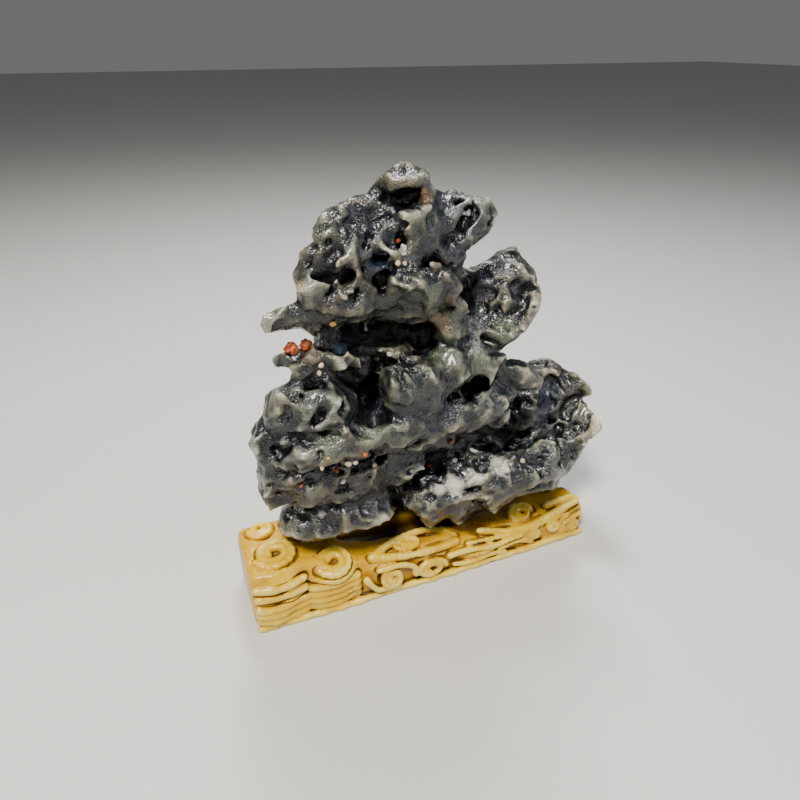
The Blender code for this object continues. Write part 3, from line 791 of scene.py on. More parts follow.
# %% [markdown]
# The outline decides whether the stone is recognised, so the block is trimmed to it along
# the sight lines. The outline is drawn on the plane Y = 0, and each slice of the block
# reads it larger or smaller, as far as the slice is behind or before that plane.

# %% Trim to the outline
# The stone's outline from the viewpoint, where it crosses the plane Y = 0: (x, z)
OUTLINE = (
    (-6.5, 109.5), (-2.5, 108.5), (-0.5, 107.5), (0.5, 104.5), (3.5, 102), (5.5, 103),
    (9.5, 101.5), (15.5, 100), (17, 97), (15.5, 93.5), (11, 90.5), (9, 89), (10, 88),
    (8.5, 85), (12.5, 85), (16, 86), (17.5, 87.5), (23, 89), (24.5, 86), (28.5, 82),
    (31, 76), (31.5, 72), (28, 67), (23, 63.5), (18, 61.5), (25, 60), (27.5, 58),
    (35.5, 57.5), (41, 53), (45, 51), (49.5, 47.5), (52.5, 43), (48, 42.5), (50.5, 39.5),
    (57.5, 32), (58, 29.5), (53.5, 26), (51.5, 21.5), (48, 16), (45.5, 15.5), (44.5, 9.5),
    (42, 11.5), (35, 12.5), (30.5, 12), (25.5, 10), (24, 8), (21, 11), (17, 11), (13, 7.5),
    (12, 7), (8.5, 11.5), (6, 11), (3, 9), (1.5, 11), (-0.5, 14.5), (-5.5, 19),
    (-6.5, 20.5), (-8.5, 17), (-10, 14.5), (-16, 14.5), (-23, 15), (-32.5, 15.5),
    (-36.5, 17.5), (-40, 21.5), (-42, 24), (-42, 30), (-43.5, 36.5), (-43, 44),
    (-44.5, 49.5), (-42.5, 54), (-40, 56.5), (-39, 61), (-33.5, 63.5), (-32, 66.5),
    (-36.5, 68.5), (-36.5, 70.5), (-28.5, 71), (-27, 73.5), (-30, 75.5), (-37, 76.5),
    (-38.5, 78), (-38, 80), (-34.5, 81), (-29.5, 82.5), (-30.5, 89), (-28.5, 93),
    (-25.5, 94.5), (-25.5, 97.5), (-23.5, 100.5), (-17, 103), (-13.5, 103.5),
    (-11, 106.5), (-8, 108.5),
)
OUTLINE_STEP = 0.5
OUTLINE_ACROSS, OUTLINE_UP = (-60, 80), (-10, 125)
OUTLINE_BLEND = 1.6


def read_table(table, rows, columns):
    """Values between a table's entries, for each of some row and column places."""
    rows = np.clip(rows, 0, table.shape[0] - 2)
    columns = np.clip(columns, 0, table.shape[1] - 2)
    row, column = rows.astype(int), columns.astype(int)
    a, b = (rows - row)[:, None], (columns - column)[None, :]
    return ((1 - a) * (1 - b) * table[np.ix_(row, column)] + a * (1 - b) * table[np.ix_(row + 1, column)]
            + (1 - a) * b * table[np.ix_(row, column + 1)] + a * b * table[np.ix_(row + 1, column + 1)])


def trim_to_outline(block):
    """Take away what the viewer would see outside the outline."""
    across = np.arange(*OUTLINE_ACROSS, OUTLINE_STEP)
    up = np.arange(*OUTLINE_UP, OUTLINE_STEP)
    table = outline_distance(OUTLINE, *np.meshgrid(across, up, indexing="ij")).astype(REAL)
    x, y, z = [line - REAL(eye) for line, eye in zip(block.lines, VIEWPOINT)]
    for slice_number, share in enumerate(REAL(-VIEWPOINT[1]) / y):
        rows = (float(VIEWPOINT[0]) + float(share) * x - across[0]) / OUTLINE_STEP
        columns = (float(VIEWPOINT[2]) + float(share) * z - up[0]) / OUTLINE_STEP
        edge = (read_table(table, rows, columns) / float(share)).astype(REAL)
        kept = -softer(-block.depth[:, slice_number], -edge, OUTLINE_BLEND)
        block.depth[:, slice_number] = kept


trim_to_outline(stone_block)
print("outline of", len(OUTLINE), "points")

# %% [markdown]
# Details are placed by sight: a line from the viewpoint is followed in small steps until
# it meets the stone. A place in the lists below is the point (x, z) where that line
# crosses the plane Y = 0.

# %% The point that is seen
SIGHT_START, SIGHT_END, SIGHT_STEP = 95.0, 235.0, 0.25
TOUCH = 0.05
CLEAR = 9.0


def seen_point(block, x, z):
    """The point of the block's surface seen through (x, 0, z), or None."""
    sight = np.array([x, 0.0, z]) - VIEWPOINT
    sight = sight / np.linalg.norm(sight)
    points = VIEWPOINT + np.arange(SIGHT_START, SIGHT_END, SIGHT_STEP)[:, None] * sight
    last = block.low + block.step * (np.array(block.shape) - 1)
    inside = np.all((points >= block.low) & (points <= last), axis=1)
    values = np.where(inside, block.read(points), CLEAR)
    hits = np.nonzero(values < TOUCH)[0]
    return points[hits[0]] if len(hits) else None


print("the middle of the stone is seen at", seen_point(stone_block, 0, 60).round(1).tolist())

# %% [markdown]
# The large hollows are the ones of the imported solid: the cave under the head, the space
# over the shelf and the dimples. They are cut as egg shapes, bent by finer swells than
# the lumps were.

# %% Large hollows
# Hollows worn into the stone, laid out like the lumps
HOLLOWS = (
    ("cave", (-14, -8, 75), (12.5, 13, 3.5), 4),
    ("cave left", (-25, -6, 74.5), (5, 12, 3), 0),
    ("shelf", (25.5, 0, 33.5), (18.5, 9, 5), 16),
    ("slab hollow", (46.5, 4, 39), (9.5, 4.5, 10.5), 10),
    ("gap", (-6.5, 3.5, 15.5), (2.5, 9, 5.5), 0),
    ("big hollow", (-15.5, -6, 57.5), (3.5, 8, 7), 4),
    ("right hollow", (12.5, -3, 55.5), (5, 6, 3), 20),
    ("side cave", (23, -4.5, 48), (3.5, 7, 2.5), 10),
    ("dimple", (7, -4.5, 98.5), (3, 3, 3), 0),
    ("hollow 1", (-24, -10.5, 90.5), (4.5, 5, 2), 8),
    ("hollow 2", (-15, -10.5, 90), (2.5, 5, 2), 20),
    ("hollow 2 top", (-14.5, -9.5, 93.5), (2.5, 4, 1.5), 0),
    ("glitter hollow", (-1, -8, 89.5), (4.5, 5, 2.5), 10),
    ("pebble slot", (-10.5, -10, 96), (1.5, 4, 2.5), 10),
    ("blue dimple", (-30.5, -9, 66), (2.5, 3.5, 1.5), 10),
    ("tube hole", (-39, -9.5, 63.5), (1, 4, 2), 0),
    ("slit", (-31, -15.5, 61.5), (1.5, 3, 3), -35),
)
# Long groove under the middle ridge: points and radius
GROOVE = ((-33, -11, 44), (-23, -13, 45), (-12, -12, 44), (0, -10, 43))
GROOVE_RADIUS = 2.4
HOLLOW_BLEND = 1.0
HOLLOW_MARGIN = 3
RIM_THICKNESS = 0.55
RIM_BLEND = 0.9
# swells that bend the hollows: height, width, first seed
FINE_BEND = ((0.9, 5, 40), (0.8, 2.4, 50))


def cut_hollow(block, centre, half_sizes, axes, blend, rim=0.0):
    """Cut an egg shape out of the block and leave a rim this high round it."""
    window = block.window(centre, max(half_sizes) * BENT_REACH + blend + HOLLOW_MARGIN)
    if window is None:
        return
    form = ball(block, window, centre, half_sizes, axes)
    if rim:
        skin = np.maximum(np.abs(form) - REAL(RIM_THICKNESS), block.depth[window] - REAL(rim))
        block.join(window, skin, RIM_BLEND)
    block.cut(window, form, blend)


stone_block.bend = random_bend(stone_block, FINE_BEND)
for _, centre, half_sizes, roll in HOLLOWS:
    cut_hollow(stone_block, centre, half_sizes, look_axes(roll), HOLLOW_BLEND)
lay_line(stone_block, GROOVE, GROOVE_RADIUS, HOLLOW_BLEND, taking=True)
print(len(HOLLOWS), "large hollows and one long groove")

# %% [markdown]
# The side that the viewer sees has many smaller hollows, each worn into the surface with
# a thin raised rim where the stone has a harder band. They are shallow, half as deep as
# an egg shape of their size would be.

# %% Smaller hollows by sight
SEEN_HOLLOW_BLEND = 1.2
SEEN_HOLLOW_DEPTH = 0.5
# place (x, z), half sizes across, away and up, roll, rim
SEEN_HOLLOWS = (
    ((9.3, 97.4), (2.9, 3.5, 2.9), 0, 0.5),
    ((-23.7, 86.7), (2.9, 4.5, 1.9), 8, 0.4),
    ((-19.4, 87.7), (2.9, 4, 1.9), 25, 0.3),
    ((-17.3, 82.4), (1.0, 2, 1.0), 0, 0.4),
    ((-11.8, 85.9), (2.6, 5, 1.7), 20, 0.4),
    ((-11.5, 90.1), (2.4, 3, 1.4), 0, 0.2),
    ((0.8, 87.6), (2.6, 4, 1.9), 20, 0.4),
    ((5.1, 85.2), (2.2, 3.5, 1.9), -10, 0.4),
    ((-6.3, 94.2), (1.2, 3, 2.2), 8, 0.4),
    ((-9.4, 92.1), (1.2, 2.5, 1.7), 0, 0.3),
    ((-1.0, 99.8), (1.2, 1.5, 1.0), 0, 0.3),
    ((-4.7, 99.0), (1.0, 1.2, 0.7), 0, 0.3),
    ((-21.9, 95.0), (1.0, 1.2, 0.7), 0, 0.2),
    ((-17.9, 96.2), (0.7, 1, 0.7), 0, 0.2),
    ((-15.2, 97.7), (1.0, 1.2, 0.7), 10, 0.2),
    ((-10.0, 99.3), (1.0, 1.3, 0.7), 20, 0.2),
    ((-21.2, 91.0), (1.4, 1.5, 1.0), 10, 0.2),
    ((-15.3, 92.8), (1.4, 1.6, 1.0), 0, 0.2),
    ((-35.5, 78.8), (2.2, 2, 1.2), -20, 0.5),
    ((-19.5, 74.1), (2.4, 5, 2.9), 0, 0),
    ((-12.7, 75.0), (2.9, 5, 1.7), 0, 0),
    ((-4.8, 73.1), (2.9, 4, 1.4), 0, 0),
    ((-28.3, 61.2), (1.9, 2.5, 1.2), 10, 0.4),
    ((-21.5, 54.9), (1.7, 2.5, 1.4), 0, 0.3),
    ((-13.4, 54.6), (3.4, 5, 6.2), 4, 0.4),
    ((-4.7, 53.1), (1.2, 2.5, 1.4), 0, 0.5),
    ((-6.6, 57.7), (1.2, 1.5, 1.0), 0, 0.3),
    ((0.1, 60.0), (1.2, 1.6, 1.2), 0, 0.3),
    ((-37.2, 58.5), (1.2, 3, 1.2), 0, 0.6),
    ((-43.1, 50.9), (1.2, 2.5, 1.4), 0, 0.6),
    ((-35.7, 54.4), (1.7, 2, 1.2), 0, 0.3),
    ((-27.3, 50.5), (2.9, 3, 1.0), -40, 0.3),
    ((13.5, 53.8), (3.8, 4, 1.9), -10, 0.4),
    ((8.7, 50.9), (1.2, 2.5, 1.2), 0, 0.3),
    ((26.2, 44.8), (2.4, 4.5, 1.7), 0, 0.3),
    ((37.1, 48.8), (4.1, 3, 3.4), 20, 0.3),
    ((45.4, 40.7), (3.4, 3, 2.9), 20, 0.3),
    ((41.6, 34.9), (3.4, 3, 1.9), 20, 0.2),
    ((33.4, 44.8), (1.4, 3, 1.9), 0, 0.3),
    ((40.2, 24.8), (2.9, 4, 1.4), 5, 0.2),
    ((29.8, 34.3), (3.8, 4, 2.2), 12, 0.2),
    ((17.2, 32.9), (3.8, 3.5, 1.7), 5, 0.2),
    ((29.0, 19.1), (1.1, 2.5, 1.0), 0, 0.5),
    ((15.2, 14.7), (1.0, 2, 0.8), 0, 0.6),
    ((38.4, 17.7), (1.4, 2.5, 1.0), 0, 0.3),
    ((5.3, 25.2), (1.9, 2, 1.0), 10, 0.2),
    ((-3.7, 29.4), (2.4, 2.5, 1.2), 0, 0.2),
    ((-20.3, 35.4), (2.2, 2.5, 1.0), 0, 0.2),
    ((-33.2, 38.2), (1.9, 2.5, 0.7), 10, 0.3),
    ((-37.2, 35.0), (1.9, 2, 0.7), 5, 0.3),
    ((-21.9, 28.8), (2.9, 2.5, 0.8), 0, 0.3),
    ((-38.9, 43.9), (1.2, 2, 1.2), 0, 0.4),
    ((-41.2, 37.3), (1.0, 2, 1.2), 0, 0.3),
    ((-34.3, 23.3), (1.7, 2, 1.0), 0, 0.3),
    ((-7.4, 20.2), (1.2, 4, 2.9), 0, 0),
    ((-25.4, 25.5), (1.7, 2, 1.0), 0, 0.2),
    ((-16.7, 20.6), (1.4, 2, 1.0), 0, 0.2),
    ((21.4, 76.9), (1.9, 1.5, 1.2), 10, 0.3),
    ((20.0, 73.7), (1.4, 1.5, 1.0), 0, 0.3),
    ((13.3, 82.0), (1.7, 2.2, 2.6), 20, 0.2),
    ((19.7, 86.4), (1.7, 1.6, 1.4), 10, 0.3),
    ((27.4, 78.7), (1.2, 1.5, 1.7), 0, 0.3),
    ((22.0, 67.0), (1.9, 2, 1.0), 0, 0.3),
    ((5.6, 16.4), (1.4, 2, 1.2), 0, 0.3),
    ((21.6, 16.5), (1.4, 2, 1.2), 0, 0.3),
    ((34.6, 20.9), (1.2, 2, 1.0), 0, 0.3),
)
for (x, z), half_sizes, roll, rim in SEEN_HOLLOWS:
    point = seen_point(stone_block, x, z)
    if point is not None:
        shallow = np.array(half_sizes) * (1.0, SEEN_HOLLOW_DEPTH, 1.0)
        cut_hollow(stone_block, point, shallow, look_axes(roll), SEEN_HOLLOW_BLEND, rim)
print(len(SEEN_HOLLOWS), "smaller hollows")

# %% [markdown]
# The gap between the left foot and the first spike is dark inside, so stone must close it
# at the back. A small lump does so here.

# %% The dark back of the gap
GAP_BACK, GAP_BACK_SIZES = (-3.5, 9, 15.5), (5.5, 3, 5.5)
GAP_BACK_BLEND, GAP_BACK_REACH = 1.5, 9
add_ball(stone_block, GAP_BACK, GAP_BACK_SIZES, PLAIN_AXES, GAP_BACK_BLEND, GAP_BACK_REACH)
print("the gap's back is", 2 * GAP_BACK_SIZES[0], "mm wide")

# %% [markdown]
# Where two worn faces meet, a thin crest is left. The main ones are laid on the surface
# as thin cords with a wide soft join. A crest stops where the surface jumps back by more
# than a few millimetres.

# %% Thin crests
CREST_SHARE = 0.7
CREST_BLEND = 1.5
CREST_JUMP = 9
# name, points (x, z), radius
SEEN_CRESTS = (
    ("fin", ((14.3, 79.2), (18.8, 81.1), (23.5, 83.5)), 0.55),
    ("fin edge", ((24.1, 85.9), (23.5, 83.5), (28.1, 77.3), (30.2, 71.7)), 0.5),
    ("spur", ((9.7, 75.2), (14.6, 71.4), (10.8, 70.6), (6.5, 70.5), (0.7, 69.1)), 0.5),
    ("sheet border", ((16.9, 70.5), (14.4, 66.6), (11.2, 63.3), (11.3, 56.5)), 0.5),
    ("arm rim", ((3.4, 89.8), (6.9, 89.7), (10.1, 87.9)), 0.6),
    ("glitter rim", ((-6.3, 87.7), (-3.6, 84.9), (-0.7, 85.4), (2.6, 83.1), (6.5, 81.9), (9.0, 84.7)), 0.6),
    ("pale arc", ((-8.5, 84.1), (-5.6, 82.5), (-3.1, 81.9), (-0.6, 82.6)), 0.6),
    ("squiggle", ((-6.3, 97.3), (-5.2, 99.3), (-6.1, 101.1), (-3.8, 101.5), (-2.2, 100.5),
                  (-3.3, 98.9)), 0.45),
    ("arch", ((-8.4, 97.0), (-7.0, 98.0), (-5.2, 96.7), (-4.4, 94.5)), 0.45),
    ("face edge", ((-25.1, 98.2), (-22.1, 98.7), (-18.8, 99.5), (-15.1, 100.6), (-11.1, 101.7)), 0.5),
    ("left lip", ((-29.7, 82.7), (-26.7, 81.2), (-22.1, 78.9), (-16.2, 78.7)), 0.7),
    ("arm lip", ((-37.9, 78.2), (-34.9, 76.1), (-31.6, 75.3), (-28.2, 75.3)), 0.6),
    ("tongue lip", ((-36.6, 69.4), (-33.2, 67.8), (-28.5, 67.7), (-23.3, 68.3)), 0.6),
    ("green ledge", ((-18.3, 68.4), (-12.9, 66.4), (-7.8, 66.6), (-4.2, 68.3)), 0.7),
    ("roof edge", ((-35.3, 42.4), (-30.0, 46.9), (-21.2, 46.8), (-10.6, 44.4), (-1.3, 45.2)), 0.8),
    ("middle rim", ((-10.4, 64.9), (-6.6, 65.0), (-2.4, 63.5), (1.5, 59.5), (3.8, 54.5), (1.7, 51.5)), 0.7),
    ("pale rib", ((-8.6, 61.4), (-7.6, 56.2), (-8.7, 51.3), (-11.4, 46.9)), 0.7),
    ("overhang", ((-5.4, 37.6), (1.9, 40.2), (10.6, 42.9), (20.9, 45.9)), 0.8),
    ("knob rim", ((19.2, 59.1), (22.6, 59.9), (27.3, 58.2), (30.8, 54.0), (29.9, 51.2)), 0.6),
    ("slab rim", ((27.9, 58.1), (35.0, 57.1), (42.3, 52.8), (51.8, 44.9)), 0.6),
    ("slab rib", ((32.0, 53.8), (37.4, 46.6), (42.5, 38.0), (53.4, 29.7)), 0.5),
    ("shelf rim", ((35.3, 26.4), (44.2, 26.3), (52.8, 27.1)), 0.7),
    ("crust edge", ((3.6, 21.9), (13.3, 21.3), (21.0, 24.5), (28.9, 26.6)), 0.6),
    ("layer 1", ((-42.3, 41.2), (-37.0, 37.4), (-30.2, 36.8), (-22.9, 36.7)), 0.6),
    ("layer 2", ((-42.2, 34.6), (-36.3, 31.0), (-27.5, 30.7), (-12.8, 27.2)), 0.7),
    ("boot", ((-41.4, 25.5), (-37.1, 21.5), (-31.4, 20.3), (-28.5, 23.1)), 0.7),
    ("left band", ((-42.7, 46.5), (-40.1, 48.2), (-36.3, 48.4), (-32.6, 46.1)), 0.6),
    ("tube rim", ((-38.8, 60.9), (-36.5, 61.2), (-34.8, 59.1), (-36.0, 56.4), (-38.8, 56.7),
                  (-39.5, 59.0)), 0.5),
    ("low rib", ((-5.4, 23.4), (2.5, 18.0), (10.3, 16.8), (18.3, 17.4), (28.2, 17.2), (40.3, 16.4)), 0.6),
)
for _, line, radius in SEEN_CRESTS:
    points = [seen_point(stone_block, x, z) for x, z in line]
    points = [point for point in points if point is not None]
    for one, other in zip(points, points[1:]):
        if np.linalg.norm(other - one) < CREST_JUMP:
            lay_line(stone_block, (one, other), CREST_SHARE * radius, CREST_BLEND)
print(len(SEEN_CRESTS), "crests")

# %% [markdown]
# The other sides have the same kind of pits. They are strewn at random, more of them
# small than large, over the whole surface.

# %% Strewn pits
PIT_COUNT = 150
PIT_SEED = 7
PIT_SMALLEST, PIT_RANGE = 0.7, 1.6
PIT_STRETCH = (0.7, 1.4)
PIT_BLEND = 0.9
NEAR_SURFACE = 0.25
pit_random = np.random.default_rng(PIT_SEED)
near_surface = np.argwhere(np.abs(stone_block.depth) < NEAR_SURFACE)
chosen = near_surface[pit_random.choice(len(near_surface), PIT_COUNT, replace=False)]
for index in chosen:
    size = PIT_SMALLEST + PIT_RANGE * pit_random.random() ** 2
    stretch = pit_random.uniform(*PIT_STRETCH, 3)
    point = stone_block.low + stone_block.step * index
    axes = look_axes(pit_random.uniform(0, 180))
    cut_hollow(stone_block, point, size * stretch, axes, PIT_BLEND)
print(PIT_COUNT, "pits on", len(near_surface), "points of surface")

# %% [markdown]
# The fine bites go over everything, hollows and crests too, as the sand still works on
# all of it. Their level is lower, so they take more and leave thinner crests.

# %% Fine wind bites
# width in mm, height in mm, seed
FINE_BITES = ((2.9, 1.2, 33), (1.6, 0.9, 34))
FINE_BITE_LEVEL = 0.36
for width, height, seed in FINE_BITES:
    bite(stone_block, width, height, seed, FINE_BITE_LEVEL)
    print("bites of", width, "mm, up to", height, "mm high")

# %% [markdown]
# The stone's feet stand in the hollow of the stand with a hair of space, as the packed
# solids do. The stand's own block says how far each point near the feet is from it.

# %% Seat the stone on the stand
SEAT_SPACE = 0.3
STAND_REACH_UP = 20.0
layers = int((STAND_REACH_UP - stone_block.low[2]) / STONE_GRAIN)
grids = np.meshgrid(stone_block.lines[0], stone_block.lines[1], stone_block.lines[2][:layers],
                    indexing="ij")
feet = np.stack([grid.ravel() for grid in grids], axis=1)
over_stand = np.all((feet > stand_block.low) & (feet < np.array(STAND_BLOCK_HIGH)), axis=1)
from_stand = np.full(len(feet), CLEAR)
from_stand[over_stand] = stand_block.read(feet[over_stand])
too_near = (SEAT_SPACE - from_stand).astype(REAL).reshape(grids[0].shape)
stone_block.depth[:, :, :layers] = np.maximum(stone_block.depth[:, :, :layers], too_near)
print("the stone stands", SEAT_SPACE, "mm clear of the stand")

# %% [markdown]
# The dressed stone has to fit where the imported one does. Its block is cut off at the
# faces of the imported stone's box, which shaves the outermost crests.

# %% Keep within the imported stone's box
stone_low, stone_high = [np.array(corner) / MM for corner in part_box("stone")]
for axis in range(3):
    line = stone_block.lines[axis]
    beyond = np.maximum(stone_low[axis] - line, line - stone_high[axis]).astype(REAL)
    turned = [None, None, None]
    turned[axis] = slice(None)
    stone_block.depth = np.maximum(stone_block.depth, beyond[tuple(turned)])
print("the stone's box is", (stone_high - stone_low).round(1).tolist(), "mm")

# %% [markdown]
# Each caught pebble lies on a low rest of stone, in a seat worn to its shape, and the
# stone before it is opened so that it can be seen. The places are those of the packed
# pebbles. With that the stone is whole and is cast.

# %% Seats for the caught pebbles
CAUGHT_NODES = ("pebble_orange_left", "pebble_orange_right", "crystal_black", "pebble_white_long")
REST_SIZES = np.array([1.8, 1.8, 1.3])
REST_DROP = 0.5
REST_BLEND = 1.5
REST_REACH = 5
SIGHT_LENGTH, SIGHT_SHARE, SIGHT_BLEND = 7, 0.9, 0.8
SEAT_SHARE, SEAT_BLEND = 1.04, 0.2


def packed_middle(node):
    """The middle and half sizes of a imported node."""
    low, high = [np.array(corner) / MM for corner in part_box(node)]
    return (low + high) / 2, (high - low) / 2


stone_block.bend = None
for node in CAUGHT_NODES:
    centre, half_sizes = packed_middle(node)
    under = centre - np.array([0, 0, half_sizes[2] + REST_DROP])
    add_ball(stone_block, under, REST_SIZES, PLAIN_AXES, REST_BLEND, REST_REACH)
    toward = (VIEWPOINT - centre) / np.linalg.norm(VIEWPOINT - centre)
    sight = (centre, centre + SIGHT_LENGTH * toward)
    lay_line(stone_block, sight, SIGHT_SHARE * min(half_sizes), SIGHT_BLEND, taking=True)
    cut_hollow(stone_block, centre, half_sizes * SEAT_SHARE, PLAIN_AXES, SEAT_BLEND)
stone = cast("scoured_stone", stone_block)

# %% [markdown]
# The stone's colour follows its shape: pale where a crest stands out, and dark in the
# hollows and creases, which is painted shade. Both are differences between the field and
# blurred copies of it, one over a small reach for the thin crests and one over a wide
# reach for the hollows.

# %% Values for the stone's colours
stone_places = places(stone)
# The wide reach finds the hollows, where the agate's colour is darkened as painted shade.
for name, reach in (("crest", 1), ("shelter", 5)):
    relief = blurred(stone_block.depth, reach) - stone_block.depth
    read = stone_block.read(stone_places, relief)
    keep_values(stone, name, read)
    print(name, "spread:", np.percentile(read, (5, 25, 50, 75, 95)).round(2).tolist())

# %% [markdown]
# Some places have a colour of their own: a white crust on the shelf, green-grey smooth
# sheets, olive on the nub, amber on the head. A near-black blue lies in the deep hollows,
# partly a blue tint of the stone and partly painted shade. Each is a soft patch round
# seen points.

# %% Coloured patches
PATCH_FADE = 1.4
# place (x, z) and reach in mm of each spot
COLOUR_PATCHES = {
    "pale_patch": (((10.1, 22.2), 3.2), ((16.3, 24.0), 3.2), ((24.2, 25.1), 3.2),
                   ((5.4, 22.1), 2.0), ((-28.5, 23.5), 1.0)),
    "green_patch": (((5.4, 63.5), 5), ((8.0, 67.1), 4), ((-11.6, 69.8), 6), ((15.4, 59.7), 4),
                    ((22.0, 67.0), 4), ((9.1, 100.0), 3), ((1.0, 78.5), 4), ((5.5, 74.8), 4),
                    ((-12.0, 42.6), 5), ((-25.2, 43.4), 4)),
    "amber_patch": (((-1.0, 102.5), 2), ((-30.3, 85.5), 2.5), ((3.7, 72.5), 3), ((6.4, 77.7), 2.5)),
    # The blue spots lie in the deep hollows: a blue tint, and near-black painted shade.
    "blue_tint_and_shade_patch": (((-13.4, 54.6), 6), ((-11.7, 89.0), 4), ((9.3, 97.4), 3), ((13.5, 53.8), 4),
                   ((13.9, 81.9), 4), ((-19.7, 74.2), 5), ((36.5, 45.8), 6)),
}
for name, spots in COLOUR_PATCHES.items():
    strength = np.zeros(len(stone_places))
    for (x, z), reach in spots:
        point = seen_point(stone_block, x, z)
        if point is not None:
            away = np.linalg.norm(stone_places - point, axis=1) / reach
            strength = np.maximum(strength, np.clip(PATCH_FADE - away, 0, 1))
    keep_values(stone, name, strength)
    print(name, "covers", int((strength > 0.5).sum()), "mesh points")

# %% [markdown]
# Colours are given as sRGB hex and turned to linear light by one function. One
# small function adds a node with its settings, and its inputs are numbers, colours or
# the outputs of other nodes. A pattern's scale comes from the size of its marks in mm.

# %% Colour and node helpers
def linear(hex_colour, alpha=1.0):
    """Linear light from an sRGB hex colour."""
    channels = [int(hex_colour[i:i + 2], 16) / 255 for i in (1, 3, 5)]
    return (*[c / 12.92 if c <= 0.04045 else ((c + 0.055) / 1.055) ** 2.4 for c in channels], alpha)


def add_node(tree, kind, settings=None, inputs=None, stops=None, output=0):
    """Add a node and give back one of its outputs; stops are a ramp's (place, hex) pairs."""
    made = tree.nodes.new("ShaderNode" + kind)
    for name, value in (settings or {}).items():
        setattr(made, name, value)
    for name, value in (inputs or {}).items():
        if isinstance(value, bpy.types.NodeSocket):
            tree.links.new(value, made.inputs[name])
        else:
            made.inputs[name].default_value = value
    for number, (place, hex_colour) in enumerate(stops or ()):
        elements = made.color_ramp.elements
        element = elements[number] if number < 2 else elements.new(place)
        element.position, element.color = place, linear(hex_colour)
    return made.outputs[output]


def new_finish(name, **settings):
    """A material with its shader's inputs set, and its node tree and shader."""
    finish = bpy.data.materials.new(name)
    finish.use_nodes = True
    shader = finish.node_tree.nodes["Principled BSDF"]
    for key, value in settings.items():
        shader.inputs[key.replace("_", " ")].default_value = value
    return finish, finish.node_tree, shader


def marks(size_mm):
    """The scale that gives a pattern marks of about this many millimetres."""
    return 1 / MM / size_mm


print("mid grey is", round(linear("#808080")[0], 3), "in linear light")

# %% [markdown]
# The stone is agate, a quartz polished by wind: grey to chalky white on the crests, where
# sand has frosted it, and nearly black and blue in the hollows and creases, which is
# painted shade. A mottle of 5 mm and a speckle of 0.8 mm break the borders up. Added to
# the crest and hollow shade values they give one height from 0 to 1, which a ramp turns
# to colour. Typical agate has an IOR of 1.54.

# %% Wind-polished agate: from painted shade in the hollows to pale crest
agate, tree, shader = new_finish("wind_polished_agate", IOR=1.54, Coat_Weight=0.35,
                                 Coat_Roughness=0.12)
on_stone = add_node(tree, "TexCoord", output="Object")
crest = add_node(tree, "Attribute", {"attribute_name": "crest"}, output="Fac")
shelter = add_node(tree, "Attribute", {"attribute_name": "shelter"}, output="Fac")
mottle = add_node(tree, "TexNoise", inputs={"Vector": on_stone, "Scale": marks(5.0), "Detail": 4.0})
mottle = add_node(tree, "MapRange", inputs={"Value": mottle, "From Min": 0.3, "From Max": 0.7})
speckle = add_node(tree, "TexNoise", inputs={"Vector": on_stone, "Scale": marks(0.8), "Detail": 4.0})
speckle = add_node(tree, "MapRange", inputs={"Value": speckle, "From Min": 0.35, "From Max": 0.65})
height = crest
for part, weight in ((speckle, 0.1), (mottle, 0.22), (shelter, 0.35)):
    height = add_node(tree, "Math", {"operation": "MULTIPLY_ADD"}, {0: part, 1: weight, 2: height})
height = add_node(tree, "MapRange", inputs={"Value": height, "From Min": -0.3, "From Max": 1.2})
# The dark stops are painted shade in the hollows and creases; the pale stops are the frosted crests.
colour = add_node(tree, "ValToRGB", inputs={"Fac": height}, stops=(
    (0.0, "#04060a"), (0.25, "#0c1016"), (0.42, "#181c21"), (0.54, "#363832"), (0.74, "#6a695c"),
    (1.0, "#bcb9a8")))
print(agate.name, "has", len(tree.nodes), "nodes so far")

# %% [markdown]
# The agate's grey leans to blue in one place and to brown in another, over about 14 mm.
# An overlay keeps the dark and the pale as they are and shifts the hue alone. The four
# kinds of patch come on top, each broken up by spots of 1.6 mm, since a worn crust has a
# ragged border. The near-black blue one in the hollows is partly painted shade.

# %% The agate's tints and patches
tint = add_node(tree, "TexNoise", inputs={"Vector": on_stone, "Scale": marks(14.0), "Detail": 2.0})
tint = add_node(tree, "MapRange", inputs={"Value": tint, "From Min": 0.38, "From Max": 0.62})
tint = add_node(tree, "ValToRGB", inputs={"Fac": tint}, stops=(
    (0.0, "#8a9096"), (0.4, "#989a92"), (0.7, "#9a957c"), (1.0, "#9c8668")))
OVERLAY = {"data_type": "RGBA", "blend_type": "OVERLAY"}
PLAIN_MIX = {"data_type": "RGBA", "blend_type": "MIX"}
colour = add_node(tree, "Mix", OVERLAY, {0: 0.55, 6: colour, 7: tint}, output=2)
spots = add_node(tree, "TexNoise", inputs={"Vector": on_stone, "Scale": marks(1.6), "Detail": 5.0})
spots = add_node(tree, "MapRange", inputs={"Value": spots, "From Min": 0.3, "From Max": 0.7})
# The near-black blue patch darkens the hollows, partly as painted shade.
for name, hex_colour, strength in (("green_patch", "#5b6450", 0.55), ("amber_patch", "#7a6040", 0.6),
                                   ("blue_tint_and_shade_patch", "#121a30", 0.7), ("pale_patch", "#c4c0b6", 0.75)):
    patch = add_node(tree, "Attribute", {"attribute_name": name}, output="Fac")
    share = add_node(tree, "Math", {"operation": "MULTIPLY_ADD"}, {0: spots, 1: 0.5, 2: patch})
    share = add_node(tree, "MapRange", inputs={"Value": share, "From Min": 0.55, "From Max": 1.15})
    share = add_node(tree, "Math", {"operation": "MULTIPLY"}, {0: share, 1: strength})
    colour = add_node(tree, "Mix", PLAIN_MIX, {0: share, 6: colour, 7: linear(hex_colour)}, output=2)
tree.links.new(colour, shader.inputs["Base Color"])
print(agate.name, "has", len(tree.nodes), "nodes so far")

# %% [markdown]
# Roughness starts at 0.16 where the wind has polished the stone and rises to 0.55 where
# it is frosted. The skin has a fine shagreen, cells of 0.45 mm over waves of 1.3 mm, that
# breaks the gloss into many small glints. It is too fine to cast, so it is a bump.

